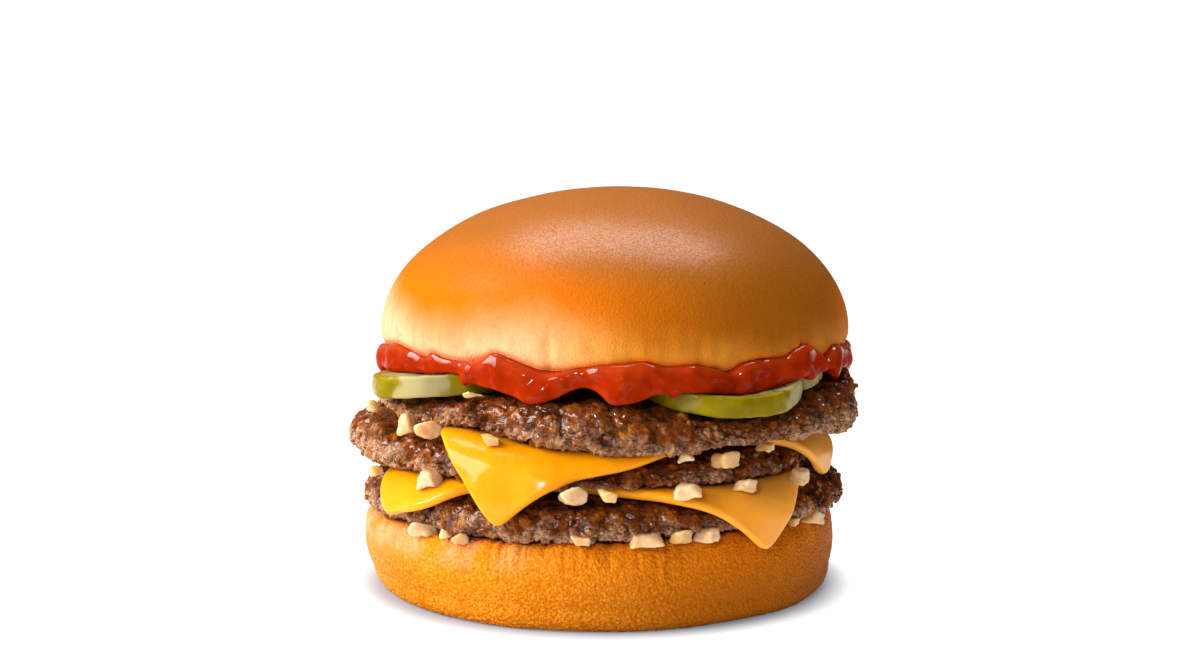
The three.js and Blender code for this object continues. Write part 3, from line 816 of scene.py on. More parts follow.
def heel_material(buns):
    """Pebbled golden crust with random darker patches. Painted light: the pebble tips are paler as a painted
    highlight that fades towards the right; the right side, most of all low down, and the hollows between the
    pebbles low down are darker as painted shade; the left edge and a broken band under the cut edge on the
    left are paler as a painted sheen."""
    graph = Graph("heel_crust", Specular_IOR_Level=0.02, IOR=1.45)
    pebbles = graph.cells(0.62)
    grain = graph.noise(0.45, 3, 0.65)
    # The paler pebble tips are a painted highlight; further down it fades towards the shaded right.
    tips = graph.trait("pebbles").over(0.35, 0.85) * grain.over(0.3, 0.65)
    level, across = graph.axis("Z"), graph.axis("X")
    patches = graph.noise(11, 3)
    # Painted shade: the crust takes the darker colour towards the right, away from the light, besides in
    # random patches.
    shade = patches.over(0.35, 0.7) * 0.4 + (1 - across.over(-25, 25)) * 0.5
    # Painted shade in the hollows between the pebbles, low down.
    hollows = (1 - graph.trait("pebbles")).over(0.45, 0.9) * (1 - level.over(6, 16)) * 0.3
    crusty = graph.mix(shade, buns.heel_dark, buns.heel_crust)
    golden = graph.mix(hollows, crusty, buns.dark)
    tipped = graph.mix(tips * (0.65 - across.over(-10, 30) * 0.45), golden, buns.heel_pale)
    # Painted shade: darker still low down on the right.
    low = across.over(-28, 38) * (1 - level.over(5, 16)) * 0.6
    # Painted light: paler along the lit left edge.
    side = (1 - across.over(-54, -38)) * 0.25
    broken = graph.noise(7, 3, 0.6).over(0.35, 0.6)
    # A painted sheen: a broken paler band under the cut edge, on the left.
    pale_band = level.over(10, 14) * (1 - across.over(-35, -5)) * broken
    paled = graph.mix(side + pale_band * 0.5, graph.mix(low, tipped, buns.dark), buns.pale)
    edge = (level + (graph.noise(2.5, 2) - 0.5) * 1.5).over(15.9, 17.4)
    rimmed = graph.mix(edge * 0.7, paled, CUT_EDGE)
    graph.bump(0.8 * grain + (1 - pebbles) * 1.2, 0.3, 0.9)
    return graph.shade(Base_Color=rimmed, Roughness=grain * 0.25 + 0.3)


# ---- Beef ----


def rim_rows(edge_rows, inner_rows):
    """Rows from the middle of the top over the rim to the middle of the bottom: the share of the way to
    the rim, and how far each row is from the middle height, 1 on top to -1 below. On the edge they
    follow a superellipse, cos to the power 2/p and sin of one angle."""
    turn = arc(EDGE_START, -EDGE_START, edge_rows)
    reach, side = np.cos(turn) ** (2 / EDGE_POWER), np.sin(turn)
    inner = np.linspace(0, 1, inner_rows, endpoint=False) ** 0.7 * reach[0]
    flat = np.sqrt(1 - inner**EDGE_POWER)
    return np.concatenate([inner, reach, inner[::-1]]), np.concatenate([flat, side, -flat[::-1]])


def drift(points, cell, seed):
    """A vector of smooth noise at each point."""
    return np.stack([swell(points, cell, seed + i) for i in range(3)], axis=-1)


def patty_grid(spec, size, depth):
    """A disc with a wavy rim and a superellipse edge, moved along its normals by upright ridges, cracks
    where a broad noise crosses zero, and packed lumps of two sizes. Gives the points, and at each how
    seared it is, less so towards the lit left as painted light, how high it stands, and its lump's tone."""
    azimuth = round_grid(COLUMNS["patty"])
    share, side = rim_rows(edge_rows=62, inner_rows=12)
    share, side = share[:, None], side[:, None]
    rim = spec["radius"] + ripple(azimuth, spec["waves"])
    x = spec["x"] + np.sin(azimuth) * rim * share
    y = spec["y"] - np.cos(azimuth) * rim * share
    bottom, top = face(spec["bottom"], x, y), face(spec["top"], x, y)
    middle = lerp(bottom, top, RIM_SHARE)
    height = np.where(side > 0, lerp(middle, top, side), lerp(middle, bottom, -side))
    points = np.stack([x, y, height], axis=-1)

    seed = spec["seed"]
    torn = points + 1.2 * drift(points, 4, seed) + 0.35 * drift(points, 1.2, seed + 5)
    ridges = swell(torn * (1, 1, 0.5), size, seed) + 0.45 * swell(torn * (1, 1, 0.7), size * 0.45, seed + 2)
    cracks = 1 - smooth(np.abs(swell(torn, size * 1.1, seed + 3)), 0, 0.3)
    large, tone = lumps(torn, size * 0.4, seed + 4)
    small, _ = lumps(points + 0.25 * drift(points, 0.7, seed + 7), size * 0.19, seed + 5)
    rough = lerp(0.3, 1.0, smooth(0.7 * swell(points, 6, seed + 9) - side, -0.7, 0.4))
    broad = 0.5 * swell(points, 9, seed + 6) - 0.2
    relief = 0.5 * ridges - 0.3 * cracks + rough * (0.42 * large + 0.24 * small) + broad
    moved = raised(points, depth * relief * smooth(share, 0.4, 0.85))
    # Less seared, so paler, towards the left, the lit side: painted light.
    seared = side + 0.7 * swell(points, 5, seed + 8) + lerp(-0.55, 0.1, smooth(x, -48, -14))
    pits = 0.42 + 0.45 * ridges - 0.2 * cracks + 0.4 * rough * (large + 0.6 * small - 0.8)
    return moved, {"seared": seared, "relief": pits, "tone": tone}


def beef_crumbs(grids, size):
    """Small lumps that stand on the rims of the patties: rounded bodies, each with its own turn and
    proportions, at random points of the outer rows."""
    random = np.random.default_rng(41)
    crumbs = []
    for grid in grids:
        rows = random.integers(BARE_ROWS, grid.shape[0] - BARE_ROWS, CRUMBS)
        columns = random.integers(0, grid.shape[1], CRUMBS)
        for middle in grid[rows, columns]:
            extent = size * random.uniform(0.3, 1.0) * random.uniform(0.55, 1.2, 3)
            crumbs.append(middle + chunk(random, extent, CRUMB_GRID, jitter=0.25, power=5))
    return crumbs


def beef_material(beef):
    """Greasy ground beef: a red-brown glaze on the upper side, paler grey-brown meat below, amber fat on
    both, with more of it on the ridge tops as a painted highlight, fine dark grains, charred patches, wet
    spots, and pits and crevices darkened as painted shade."""
    graph = Graph("ground_beef", Specular_IOR_Level=0.02, IOR=1.42, Coat_Roughness=0.05)
    relief, seared, tone = graph.trait("relief"), graph.trait("seared"), graph.trait("tone")
    patches = graph.noise(5, 3, 0.55)
    fine = graph.noise(0.9, 4, 0.7)
    grain = graph.noise(0.38, 2, 0.6)
    glaze = (seared + (patches - 0.5) * 2.5 + (fine - 0.5) * 1.5).over(-0.75, 0.25)
    crumb = grain * 0.55 + fine * 0.45 + (tone - 0.5) * 0.12
    lean = graph.mix(crumb.over(0.4, 0.66) * 0.9, beef.cooked, beef.seared)
    browned = graph.mix(crumb.over(0.38, 0.5) * 0.35, beef.fat, beef.seared)
    # The amber fat gathers more on the ridge tops: partly a painted highlight.
    amber = (graph.noise(2.4, 3, 0.6, distortion=0.8) + (relief - 0.45) * 0.25).over(0.5, 0.72)
    greasy = graph.mix(amber * 0.6, lean, beef.fat)
    crust = graph.mix(glaze, greasy, graph.mix(amber, beef.seared, browned))
    speckled = graph.mix(crumb.over(0.54, 0.64) * (0.45 - glaze * 0.2), crust, beef.charred)
    # Painted shade: the pits and crevices of the relief are darkened towards the charred colour.
    pits = 1 - (relief + (fine - 0.5) * 0.5).over(0.0, 0.45)
    pitted = graph.mix(pits * 0.85, speckled, beef.charred)
    char = graph.noise(9, 3, 0.5, distortion=0.6).over(0.64, 0.74)
    burnt = graph.mix(char * 0.8, pitted, beef.charred)
    wet = graph.noise(1.8, 3, 0.5).over(0.49, 0.55) * (glaze * 0.6 + 0.4)
    dry = 1 - glaze * 0.65
    graph.bump((fine * 0.9 + grain * 0.9) * dry + graph.noise(1.1, 2, 0.4) * 1.7, 0.5, 0.95)
    return graph.shade(Base_Color=burnt, Roughness=0.6 - wet * 0.3, Coat_Weight=wet * 0.9)


# ---- Cheese ----


def slice_outline(corners, azimuth, power):
    """The reach of a four-sided slice along each azimuth: the inverse p-norm of the inverse distances to
    its sides, which rounds its corners."""
    at, reach = np.radians([corner[0] for corner in corners]), np.array([corner[1] for corner in corners])
    points = np.stack([reach * np.sin(at), -reach * np.cos(at)], axis=-1)
    total = 0
    for start, end in zip(points, np.roll(points, -1, axis=0)):
        along = (end - start) / np.linalg.norm(end - start)
        across = np.array([along[1], -along[0]])
        distance = start @ across
        facing = np.sin(azimuth) * across[0] - np.cos(azimuth) * across[1]
        total = total + np.maximum(facing / distance, 0) ** power
    return total ** (-1 / power)


# The radius of a slice's bend over the rim, the angle at which it hangs, and its gaps to the rim and to the
# face below.
CHEESE_BEND = 5.0
CHEESE_HANG = np.radians(82)
CHEESE_RIM_CLEARANCE = 1.8
CHEESE_CLEARANCE = 0.6


def cheese_grid(spec, thickness, power):
    """A slice with round edges that lies on its patty, bends down over the rim along an arc and hangs.
    Each point goes out by the reach or the arc's sine, and down by the arc's cosine and the hang. Broad
    noise sways it out and in where it hangs."""
    bed = PATTIES[spec["on"]]
    azimuth = round_grid(COLUMNS["cheese"])
    slack = sum(far * lobe(azimuth, at, half) for at, half, far in spec["slack"])
    outline = slice_outline(spec["corners"], azimuth, power) + slack
    half = thickness / 2
    flat = np.concatenate([np.linspace(0, 0.62, 8, endpoint=False), np.linspace(0.62, 1, 52)])
    turn = arc(90, -90, 13)[1:-1]
    reach = np.concatenate([
        flat[:, None] * (outline - half),
        outline - half + half * np.cos(turn)[:, None],
        flat[::-1, None] * (outline - half),
    ])
    face_lift = np.full(len(flat), half)
    lift = np.concatenate([face_lift, half * np.sin(turn), -face_lift])[:, None] + half

    rim = bed["radius"] + ripple(azimuth, bed["waves"])
    start = rim + CHEESE_RIM_CLEARANCE - CHEESE_BEND
    beyond = np.maximum(0, reach - start)
    turned = np.minimum(beyond / CHEESE_BEND, CHEESE_HANG)
    hanging = beyond - turned * CHEESE_BEND
    edge = np.minimum(reach, start)
    out = edge + (CHEESE_BEND + lift) * np.sin(turned) + hanging * np.cos(turned)
    down = CHEESE_BEND * (1 - np.cos(turned)) + hanging * np.sin(turned)
    height = face(bed["top"], bed["x"] + np.sin(azimuth) * edge, bed["y"] - np.cos(azimuth) * edge)
    points = polar(azimuth, out, height + CHEESE_CLEARANCE - down + lift * np.cos(turned), bed["x"], bed["y"])

    loose = smooth(beyond, 0, 9)
    sag = loose * (0.9 * swell(points, 15, spec["seed"]) + 0.45 * swell(points, 6.5, spec["seed"] + 1))
    return points + polar(azimuth, sag, 0)


def cheese_material(cheese):
    """Smooth melted cheese with faint paler patches and small dents, and paler towards the right as painted
    light.
    """
    graph = Graph(
        "melted_cheese", Specular_IOR_Level=0.04, IOR=1.45, Subsurface_Weight=0.5, Subsurface_Scale=0.004,
        Subsurface_Radius=(1.0, 0.5, 0.02), Coat_Roughness=0.17, Coat_Weight=0.4,
    )
    patches = graph.noise(9, 3, 0.5)
    mottled = graph.mix(patches.over(0.45, 0.75) * 0.55, cheese.colour, cheese.thin)
    # Painted light: paler towards the right, where the slices lie in shade.
    paled = graph.mix(graph.axis("X").over(5, 45), mottled, cheese.pale)
    graph.bump(graph.noise(5.5, 2, 0.45) * 2 + 0.06 * graph.noise(0.7, 2), 0.4, 0.7)
    return graph.shade(Base_Color=paled, Roughness=0.3 + graph.noise(4, 2) * 0.14)


# ---- Pickles ----


def pickle_radius(spec, azimuth):
    """The distance from the middle of an oval slice to its edge."""
    turn = azimuth - np.radians(spec["turn"])
    return 1 / np.hypot(2 * np.sin(turn) / spec["length"], 2 * np.cos(turn) / spec["width"])


def pickle_crossings(spec, x, y, azimuth, gap=0.0):
    """How far a ray from a point goes to where it enters and leaves an oval slice grown by a gap: the two
    roots of the quadratic for a ray and a circle, after each axis is divided by its half length."""
    turn = np.radians(spec["turn"])
    dx, dy = x - spec["x"], y - spec["y"]
    length, width = spec["length"] / 2 + gap, spec["width"] / 2 + gap
    start = (dx * np.cos(turn) + dy * np.sin(turn)) / length, (dx * np.sin(turn) - dy * np.cos(turn)) / width
    step = np.sin(azimuth - turn) / length, np.cos(azimuth - turn) / width
    square = step[0] ** 2 + step[1] ** 2
    along = start[0] * step[0] + start[1] * step[1]
    crossing = along**2 - square * (start[0] ** 2 + start[1] ** 2 - 1)
    root = np.sqrt(np.maximum(crossing, 0))
    enters = np.where((crossing > 0) & (along < -root), (-along - root) / square, np.inf)
    return enters, (root - along) / square


def pickle_bed(x, y):
    """The height of the upper patty's top under a slice, with the gap between them."""
    return face(PATTIES["patty_upper"]["top"], x, y) + PICKLE_LIFT


def pickle_grid(spec, bevel, seed):
    """An oval slice with round edges and a shallow hollow in its faces, bent to lie on the upper patty,
    and cut off short of the slice beside it if there is one. Gives the points, their share of the way to
    the rind, and where the rind is pared off."""
    azimuth = round_grid(COLUMNS["pickle"])
    hub = np.add((spec["x"], spec["y"]), spec.get("hub", (0, 0)))
    rim = pickle_crossings(spec, *hub, azimuth)[1] + 0.25 * np.cos(9 * azimuth + seed)
    if "beside" in spec:
        rim = np.minimum(rim, pickle_crossings(PICKLES[spec["beside"]], *hub, azimuth, PICKLE_GAP)[0])
    inner = np.linspace(0, 1, 20) ** 0.8
    turn = arc(90, 0, 7)[1:]
    side = np.linspace(1, -1, 11)[1:-1]
    thick = spec["thickness"]
    round_up = bevel * (1 - np.sin(turn))
    edge = rim - bevel + bevel * np.cos(turn)[:, None]
    radius = np.concatenate([
        inner[:, None] * (rim - bevel), edge, rim + 0.1 * (1 - side[:, None] ** 2), edge[::-1],
        inner[::-1, None] * (rim - bevel),
    ])
    height = np.concatenate([
        np.full(len(inner), thick), thick - round_up, lerp(bevel, thick - bevel, (side + 1) / 2),
        round_up[::-1], np.zeros(len(inner)),
    ])[:, None]
    share = radius / rim
    hollow = 0.15 * np.exp(-((share - 0.55) / 0.25) ** 2) * np.where(height > thick / 2, -1, 1)
    x, y = hub[0] + radius * np.sin(azimuth), hub[1] - radius * np.cos(azimuth)
    points = np.stack([x, y, pickle_bed(x, y) + height + hollow], axis=-1)
    relief = 0.12 * swell(points, 2.6, seed) + 0.18 * swell(points, 7, seed + 1)
    bare = lobe(azimuth + 0.2 * swell(points, 3, seed), *spec["bare"]) ** 0.5
    return raised(points, relief), {"rind": share, "bare": bare}


def pickle_material(pickles):
    """Wet pickle: pale, faintly veined flesh inside a darker green rind, with lighter blotches, and with
    the flesh showing where the rind is pared off."""
    graph = Graph(
        "pickle", Specular_IOR_Level=0.02, IOR=1.4, Subsurface_Weight=0.35, Subsurface_Scale=0.002,
        Subsurface_Radius=(1.0, 0.9, 0.02), Coat_Weight=0.11, Coat_Roughness=0.1,
    )
    rind = graph.trait("rind") + (graph.noise(2.2, 3) - 0.5) * 0.16
    veins = graph.noise(1.4, 3, 0.6, graph.stretched(1, 1, 0.3))
    flesh = graph.mix(veins.over(0.4, 0.7) * 0.4, pickles.flesh, pickles.rind)
    rinded = graph.mix(graph.noise(5, 2).over(0.35, 0.65), pickles.rind, pickles.lime)
    blotched = graph.mix(graph.noise(7, 2).over(0.55, 0.7) * 0.3, rinded, pickles.flesh)
    bare = (graph.trait("bare") + (veins - 0.5) * 0.5).over(0.3, 0.7)
    peeled = graph.mix(bare * 0.85, blotched, pickles.flesh)
    ringed = graph.mix(rind.over(0.72, 0.98), flesh, peeled)
    graph.bump(graph.noise(1.1, 3) + 0.3 * graph.noise(0.4, 2), 0.2, 0.5)
    return graph.shade(Base_Color=ringed, Roughness=0.16 + graph.noise(2, 2) * 0.16)


# ---- Ketchup ----


def sauce_floor(x, y):
    """The height that the sauce rests on, the upper patty's rounded top or a pickle slice on it, and
    how far it is over a slice."""
    patty = PATTIES["patty_upper"]
    dx, dy = x - patty["x"], y - patty["y"]
    azimuth = np.arctan2(dx, -dy)
    share = np.minimum(np.hypot(dx, dy) / (patty["radius"] + ripple(azimuth, patty["waves"])), 1)
    top, bottom = face(patty["top"], x, y), face(patty["bottom"], x, y)
    floor = lerp(lerp(bottom, top, RIM_SHARE), top, np.sqrt(1 - share**EDGE_POWER))
    covered = 0
    for spec in PICKLES.values():
        px, py = x - spec["x"], y - spec["y"]
        rim = pickle_radius(spec, np.arctan2(px, -py))
        cover = 1 - smooth(np.hypot(px, py) - rim, 0, 3)
        floor = np.maximum(floor, lerp(floor, pickle_bed(x, y) + spec["thickness"], cover))
        covered = np.maximum(covered, cover)
    return floor + 0.05, covered


def ketchup_grid(thick):
    """Sauce under the crown that rolls out round its edge. Each profile goes out under the cut and up
    the crown's side to the upper edge, bulges out along a blunt arc to the hem, which rests on what is
    below, and goes back in. Gives the points, and how near each is to the crest of the roll."""
    azimuth = round_grid(COLUMNS["ketchup"])
    rim_top = round_curve(azimuth, KETCHUP_TOP)
    hem = round_curve(azimuth, KETCHUP_HEM)
    full = smooth(rim_top - hem, 1.5, 8)
    outer = CROWN["lip_radius"] + lerp(0.45, 1.0, full) * thick
    reaches = [outer, outer - 1.2, outer - 2.4]
    beds = [sauce_floor(CROWN["x"] + reach * np.sin(azimuth), -reach * np.cos(azimuth)) for reach in reaches]
    floor = np.max([height for height, _ in beds], axis=0)
    on_pickle = np.max([on for _, on in beds], axis=0)
    low = lerp(np.maximum(hem, floor), floor, on_pickle * (1 - smooth(hem - floor, 1.5, 3)))
    low = np.minimum(low, rim_top - 1.6)
    start = crown_side(rim_top) - 0.35
    turn = arc(90, -90, 56)[:, None]
    middle = lerp(rim_top, low, 0.55)
    inner_reach = np.where(turn > 0, start, outer - 2)
    arc_radius = inner_reach + (outer - inner_reach) * np.cos(turn) ** np.where(turn > 0, 0.8, 0.3)
    arc_height = middle + np.where(turn > 0, rim_top - middle, middle - low) * np.sin(turn)
    under = np.array(KETCHUP_LOWER_RINGS)[:, None]
    inner = np.array(KETCHUP_UPPER_RINGS)[:, None]
    radius = stacked(azimuth, inner, [[KETCHUP_LIP_RING]], arc_radius, under)
    height = stacked(
        azimuth, crown_cut(inner) - 0.2, [[CROWN["lip_at"] - 0.1]], arc_height, crown_cut(under) - 0.7)
    points = polar(azimuth, radius, height, CROWN["x"])
    hidden = np.zeros((len(inner) + 1, 1)), np.zeros((len(under), 1))
    shown = np.concatenate([hidden[0], np.cos(turn) ** 0.5, hidden[1]])
    relief = 0.85 * swell(points, 5.5, 61) + 0.3 * swell(points, 2.8, 62)
    crest = np.concatenate([hidden[0], np.exp(-(((turn - 0.95) / 0.4) ** 2)), hidden[1]])
    return raised(points, relief * shown), crest


def ketchup_material(ketchup):
    """Ketchup with faint pulp, thinner and brighter in patches and along the crest of its roll, where it
    has a sharp wet gloss, with fainter wet spots elsewhere."""
    graph = Graph(
        "ketchup", Specular_IOR_Level=0.01, IOR=1.42, Subsurface_Weight=0.12, Subsurface_Scale=0.0012,
        Subsurface_Radius=(1.0, 0.1, 0.01), Coat_Roughness=0.045,
    )
    pulp = graph.noise(2.6, 2, 0.5)
    thin = graph.noise(6, 2)
    dark = [0.6 * channel for channel in ketchup.colour]
    deep = graph.mix(pulp.over(0.35, 0.7) * 0.5, ketchup.colour, dark)
    crest = graph.trait("crest")
    shade = graph.mix(thin.over(0.5, 0.75) * 0.25 + crest * 0.3, deep, ketchup.thin)
    graph.bump(graph.noise(2.2, 2, 0.4), 0.4, 0.15)
    wet = graph.noise(1.7, 2).over(0.55, 0.61) * 0.22 + crest * 0.95
    return graph.shade(Base_Color=shade, Roughness=0.14 + pulp * 0.1, Coat_Weight=wet)


# ---- Onion ----


def chunk(random, extent, counts, jitter, power):
    """A chopped chunk with soft edges, about the origin: along each direction the reach is the inverse
    p-norm of the inverse distances to its planes, which are a box's six, tilted, and three that cut
    its corners. It is turned about the upright, and then fitted to its extent."""
    columns, rows = counts
    azimuth = round_grid(columns)
    dip = arc(90, -90, rows)[:, None]
    ways = polar(azimuth, np.cos(dip), np.sin(dip))
    box = np.concatenate([np.eye(3), -np.eye(3)]) + random.normal(0, jitter, (6, 3))
    cuts = random.normal(0, 1, (3, 3))
    planes = np.concatenate([box, cuts])
    planes /= np.linalg.norm(planes, axis=1, keepdims=True)
    distances = np.concatenate([random.uniform(0.85, 1, 6), random.uniform(0.95, 1.3, 3)])
    facing = np.maximum(ways @ planes.T / distances, 0)
    body = ways * (np.sum(facing**power, axis=-1) ** (-1 / power))[..., None]
    spin = random.uniform(0, np.pi)
    body = body @ np.array([[np.cos(spin), np.sin(spin), 0], [-np.sin(spin), np.cos(spin), 0], [0, 0, 1]])
    return body / np.abs(body).reshape(-1, 3).max(axis=0) * extent


def die_grid(node, number, share):
    """A chunk in the place of a CAD die, or shaped and shifted otherwise where ODD_DICE says so, with an
    uneven surface."""
    low, high = box_of(node)
    random = np.random.default_rng(100 + number)
    stretch, shift = ODD_DICE.get(node, ((1, 1, 1), (0, 0, 0)))
    extent = (high - low) / 2 * share * random.uniform(0.8, 1.05, 3) * stretch
    body = (low + high) / 2 + shift + chunk(random, extent, DIE_GRID, jitter=0.2, power=9)
    relief = 0.36 * swell(body, 2, 71 + number) + 0.1 * swell(body, 0.65, 72)
    return raised(body, relief)


def onion_material(onion):
    """Cooked onion: milky, lit from within, with faint layers and stains of juice."""
    graph = Graph(
        "cooked_onion", Specular_IOR_Level=0.15, IOR=1.4, Subsurface_Weight=0.85, Subsurface_Scale=0.005,
        Subsurface_Radius=(1.0, 0.6, 0.3), Coat_Weight=0.4, Coat_Roughness=0.12,
    )
    layers = graph.noise(1.3, 3, 0.6, graph.stretched(0.4, 0.4, 1.6))
    tint = graph.mix(graph.trait("soaked"), onion.colour, onion.soaked)
    stains = graph.noise(3, 2).over(0.45, 0.65)
    veined = graph.mix(layers.over(0.42, 0.66) * 0.45 + stains * 0.5, tint, onion.soaked)
    graph.bump(layers + 0.4 * graph.noise(0.5, 2), 0.22, 0.5)
    return graph.shade(Base_Color=veined, Roughness=0.24 + layers * 0.16)


# ---- Stage ----


# Half the floor's size and the nearest that the camera sees, in metres. Its sensor's width is in millimetres.
FLOOR_HALF = 4.0
SENSOR_WIDTH = 36.0
NEAREST_SEEN = 0.01
# The lights' sizes and places, in metres. They look at the middle of the stack.
LIGHTS = {
    "key": ((0.6, 0.5), (-0.616, -0.224, 0.409)),
    "softbox": ((0.5, 0.26), (0.01, 0.125, 0.55)),
    "front": ((0.09, 0.06), (-0.16, -0.7, 0.33)),
}
AIM = (0, 0, 0.045)
# How bright the room looks to the camera, and what share of its light comes from the right.
ROOM_SEEN = 1.1
RIGHT_SHARE = 0.15


def floor_material():
    """White paper that glows more with the distance, so that it stays as white as the room; close round the
    burger's base it glows only a dim blue-grey, a painted contact shadow.
    """
    graph = Graph(
        "floor", Base_Color=(0.3, 0.3, 0.31), Roughness=0.9, Specular_IOR_Level=0.1, Emission_Strength=1.0)
    distance = graph.add("ShaderNodeVectorMath", {"operation": "LENGTH"}, {0: graph.place}, "Value")
    # Painted contact shadow: a dim blue-grey glow within about 46 mm of the middle, rising to white by 57 mm.
    return graph.shade(Emission_Color=graph.mix(distance.over(46, 57), (0.12, 0.14, 0.17), (1, 1, 1)))


def add_floor():
    """A large square under the burger."""
    mesh = bpy.data.meshes.new("floor")
    corners = [(x * FLOOR_HALF, y * FLOOR_HALF, 0) for x, y in ((-1, -1), (1, -1), (1, 1), (-1, 1))]
    mesh.from_pydata(corners, [], [(0, 1, 2, 3)])
    mesh.materials.append(floor_material())
    floor = add_object("floor", mesh)


def add_camera(place, pitch, lens):
    """A camera that looks along +Y and down by its pitch."""
    camera = add_object("camera", bpy.data.cameras.new("camera"))
    camera.location = place
    camera.rotation_euler = (np.pi / 2 - pitch, 0, 0)
    camera.data.lens = lens
    camera.data.sensor_width = SENSOR_WIDTH
    camera.data.clip_start = NEAREST_SEEN
    bpy.context.scene.camera = camera


def add_light(name, power, size, place):
    """A rectangular light, turned towards the middle of the stack."""
    light = bpy.data.lights.new(name, "AREA")
    light.shape = "RECTANGLE"
    light.size, light.size_y = size
    light.energy = power
    holder = add_object(name, light)
    holder.location = place
    holder.rotation_euler = (Vector(AIM) - Vector(place)).to_track_quat("-Z", "Y").to_euler()


def add_room(ambient):
    """White surroundings, which look bright to the camera and light the burger weakly, least from the
    right."""
    world = bpy.data.worlds.new("room")
    world.use_nodes = True
    bpy.context.scene.world = world
    nodes = Nodes(world.node_tree)
    direction = nodes.add("ShaderNodeTexCoord", {}, {}, "Generated")
    side = nodes.add("ShaderNodeSeparateXYZ", {}, {0: direction}, "X")
    lit = nodes.add("ShaderNodeMapRange", {"interpolation_type": "SMOOTHSTEP"}, {
        "Value": side, "From Min": -1, "To Min": ambient, "To Max": ambient * RIGHT_SHARE})
    seen = nodes.add("ShaderNodeLightPath", {}, {}, "Is Camera Ray")
    strength = nodes.add("ShaderNodeMapRange", {}, {"Value": seen, "To Min": lit, "To Max": ROOM_SEEN})
    nodes.feed(world.node_tree.nodes["Background"], {"Color": (1, 1, 1), "Strength": strength})


# ---- Operators ----


class BURGER_OT_heel(bpy.types.Operator):
    """Makes the lower bun: a pebbled crust with a wrinkled cut edge"""

    bl_idname = "burger.heel"
    bl_label = "Heel"

    def execute(self, context):
        buns = context.scene.burger.buns
        grid, pebbles = heel_grid(buns.pebble_size / MM, buns.pebble_depth / MM)
        add_piece("heel_bun", [(grid, {"pebbles": pebbles})], heel_material(buns), ["bun_heel"])
        return {"FINISHED"}


class BURGER_OT_crown(bpy.types.Operator):
    """Makes the upper bun: a smooth dome with a creased pale band"""

    bl_idname = "burger.crown"
    bl_label = "Crown"

    def execute(self, context):
        buns = context.scene.burger.buns
        grid, stain = crown_grid(buns.dimple_depth / MM)
        add_piece("crown_bun", [(grid, {"stain": stain})], crown_material(buns), ["bun_crown"])
        return {"FINISHED"}


class BURGER_OT_patties(bpy.types.Operator):
    """Makes the beef patties: wavy discs of clumped, seared meat"""

    bl_idname = "burger.patties"
    bl_label = "Patties"

    def execute(self, context):
        beef = context.scene.burger.beef
        material = beef_material(beef)
        grids = []
        for node, spec in PATTIES.items():
            grid, traits = patty_grid(spec, beef.clump_size / MM, beef.clump_depth / MM)
            add_piece(node.replace("patty", "beef"), [(grid, traits)], material, [node])
            grids.append(grid)
        crumbs = [(crumb, CRUMB_TRAITS) for crumb in beef_crumbs(grids, beef.crumb_size / MM)]
        add_piece("beef_crumbs", crumbs, material, [])
        return {"FINISHED"}


class BURGER_OT_cheese(bpy.types.Operator):
    """Makes the cheese slices, draped over their patties"""

    bl_idname = "burger.cheese"
    bl_label = "Cheese"

    def execute(self, context):
        cheese = context.scene.burger.cheese
        material = cheese_material(cheese)
        for node, spec in CHEESES.items():
            grid = cheese_grid(spec, cheese.thickness / MM, cheese.corner_power)
            add_piece(node.replace("cheese", "slice"), [(grid, {})], material, [node])
        return {"FINISHED"}


class BURGER_OT_pickles(bpy.types.Operator):
    """Makes the pickle slices on the upper patty"""

    bl_idname = "burger.pickles"
    bl_label = "Pickles"

    def execute(self, context):
        pickles = context.scene.burger.pickles
        material = pickle_material(pickles)
        for number, (node, spec) in enumerate(PICKLES.items()):
            part = pickle_grid(spec, pickles.bevel / MM, 40 + 3 * number)
            add_piece(node.replace("pickle", "gherkin"), [part], material, [node])
        return {"FINISHED"}


class BURGER_OT_ketchup(bpy.types.Operator):
    """Makes the ketchup under the crown, with its swells and runs"""

    bl_idname = "burger.ketchup"
    bl_label = "Ketchup"

    def execute(self, context):
        ketchup = context.scene.burger.ketchup
        grid, crest = ketchup_grid(ketchup.thick / MM)
        add_piece("sauce", [(grid, {"crest": crest})], ketchup_material(ketchup), ["ketchup"])
        return {"FINISHED"}


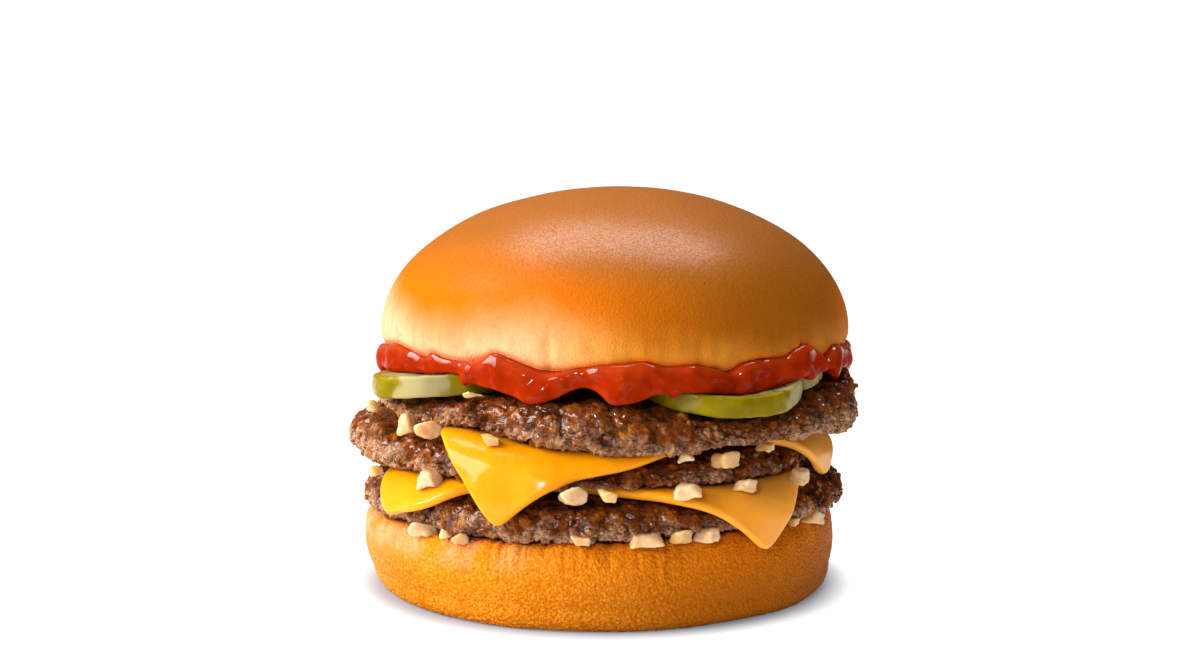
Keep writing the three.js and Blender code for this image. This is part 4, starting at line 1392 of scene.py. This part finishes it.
class BURGER_OT_onion(bpy.types.Operator):
    """Makes the dice of onion, one joined piece for each level of the stack"""

    bl_idname = "burger.onion"
    bl_label = "Onion"

    def execute(self, context):
        onion = context.scene.burger.onion
        material = onion_material(onion)
        random = np.random.default_rng(29)
        for level, count in ONION_LEVELS.items():
            nodes = [f"onion_{level}_{i + 1}" for i in range(count)]
            parts = [
                (die_grid(node, i, onion.share), {"soaked": random.beta(1.1, 1.5)})
                for i, node in enumerate(nodes)
            ]
            add_piece(f"dice_{level}", parts, material, nodes)
        return {"FINISHED"}


class BURGER_OT_stage(bpy.types.Operator):
    """Makes the floor, the camera, the lights and the room"""

    bl_idname = "burger.stage"
    bl_label = "Stage"

    def execute(self, context):
        stage = context.scene.burger.stage
        add_floor()
        add_camera(stage.camera_place, stage.camera_pitch, stage.lens)
        for name, (size, place) in LIGHTS.items():
            add_light(name, getattr(stage, name), size, place)
        add_room(stage.ambient)
        context.scene.view_settings.view_transform = "Standard"
        return {"FINISHED"}


class BURGER_PT_panel(bpy.types.Panel):
    """Lists the layers of the burger and their settings"""

    bl_idname = "BURGER_PT_panel"
    bl_label = "Triple cheeseburger"
    bl_space_type = "VIEW_3D"
    bl_region_type = "UI"
    bl_category = "Burger"

    def draw(self, context):
        for operator in OPERATORS:
            self.layout.operator(operator.bl_idname)
        for group in SETTING_GROUPS:
            settings = getattr(context.scene.burger, group)
            box = self.layout.box()
            box.label(text=group.title())
            for name in settings.__annotations__:
                box.prop(settings, name)


OPERATORS = [
    BURGER_OT_stage, BURGER_OT_heel, BURGER_OT_patties, BURGER_OT_cheese, BURGER_OT_pickles,
    BURGER_OT_ketchup, BURGER_OT_crown, BURGER_OT_onion,
]
SETTING_GROUPS = ["buns", "beef", "cheese", "pickles", "ketchup", "onion", "stage"]
CLASSES = [
    BURGER_PG_buns, BURGER_PG_beef, BURGER_PG_cheese, BURGER_PG_pickles, BURGER_PG_ketchup, BURGER_PG_onion,
    BURGER_PG_stage, BURGER_PG_settings, *OPERATORS, BURGER_PT_panel,
]


def register():
    for item in CLASSES:
        bpy.utils.register_class(item)
    bpy.types.Scene.burger = PointerProperty(
        name="Burger", description="Settings of the burger", type=BURGER_PG_settings)


def unregister():
    del bpy.types.Scene.burger
    for item in reversed(CLASSES):
        bpy.utils.unregister_class(item)


def main():
    register()
    for operator in OPERATORS:
        group, name = operator.bl_idname.split(".")
        getattr(getattr(bpy.ops, group), name)()


if __name__ == "__main__":
    main()
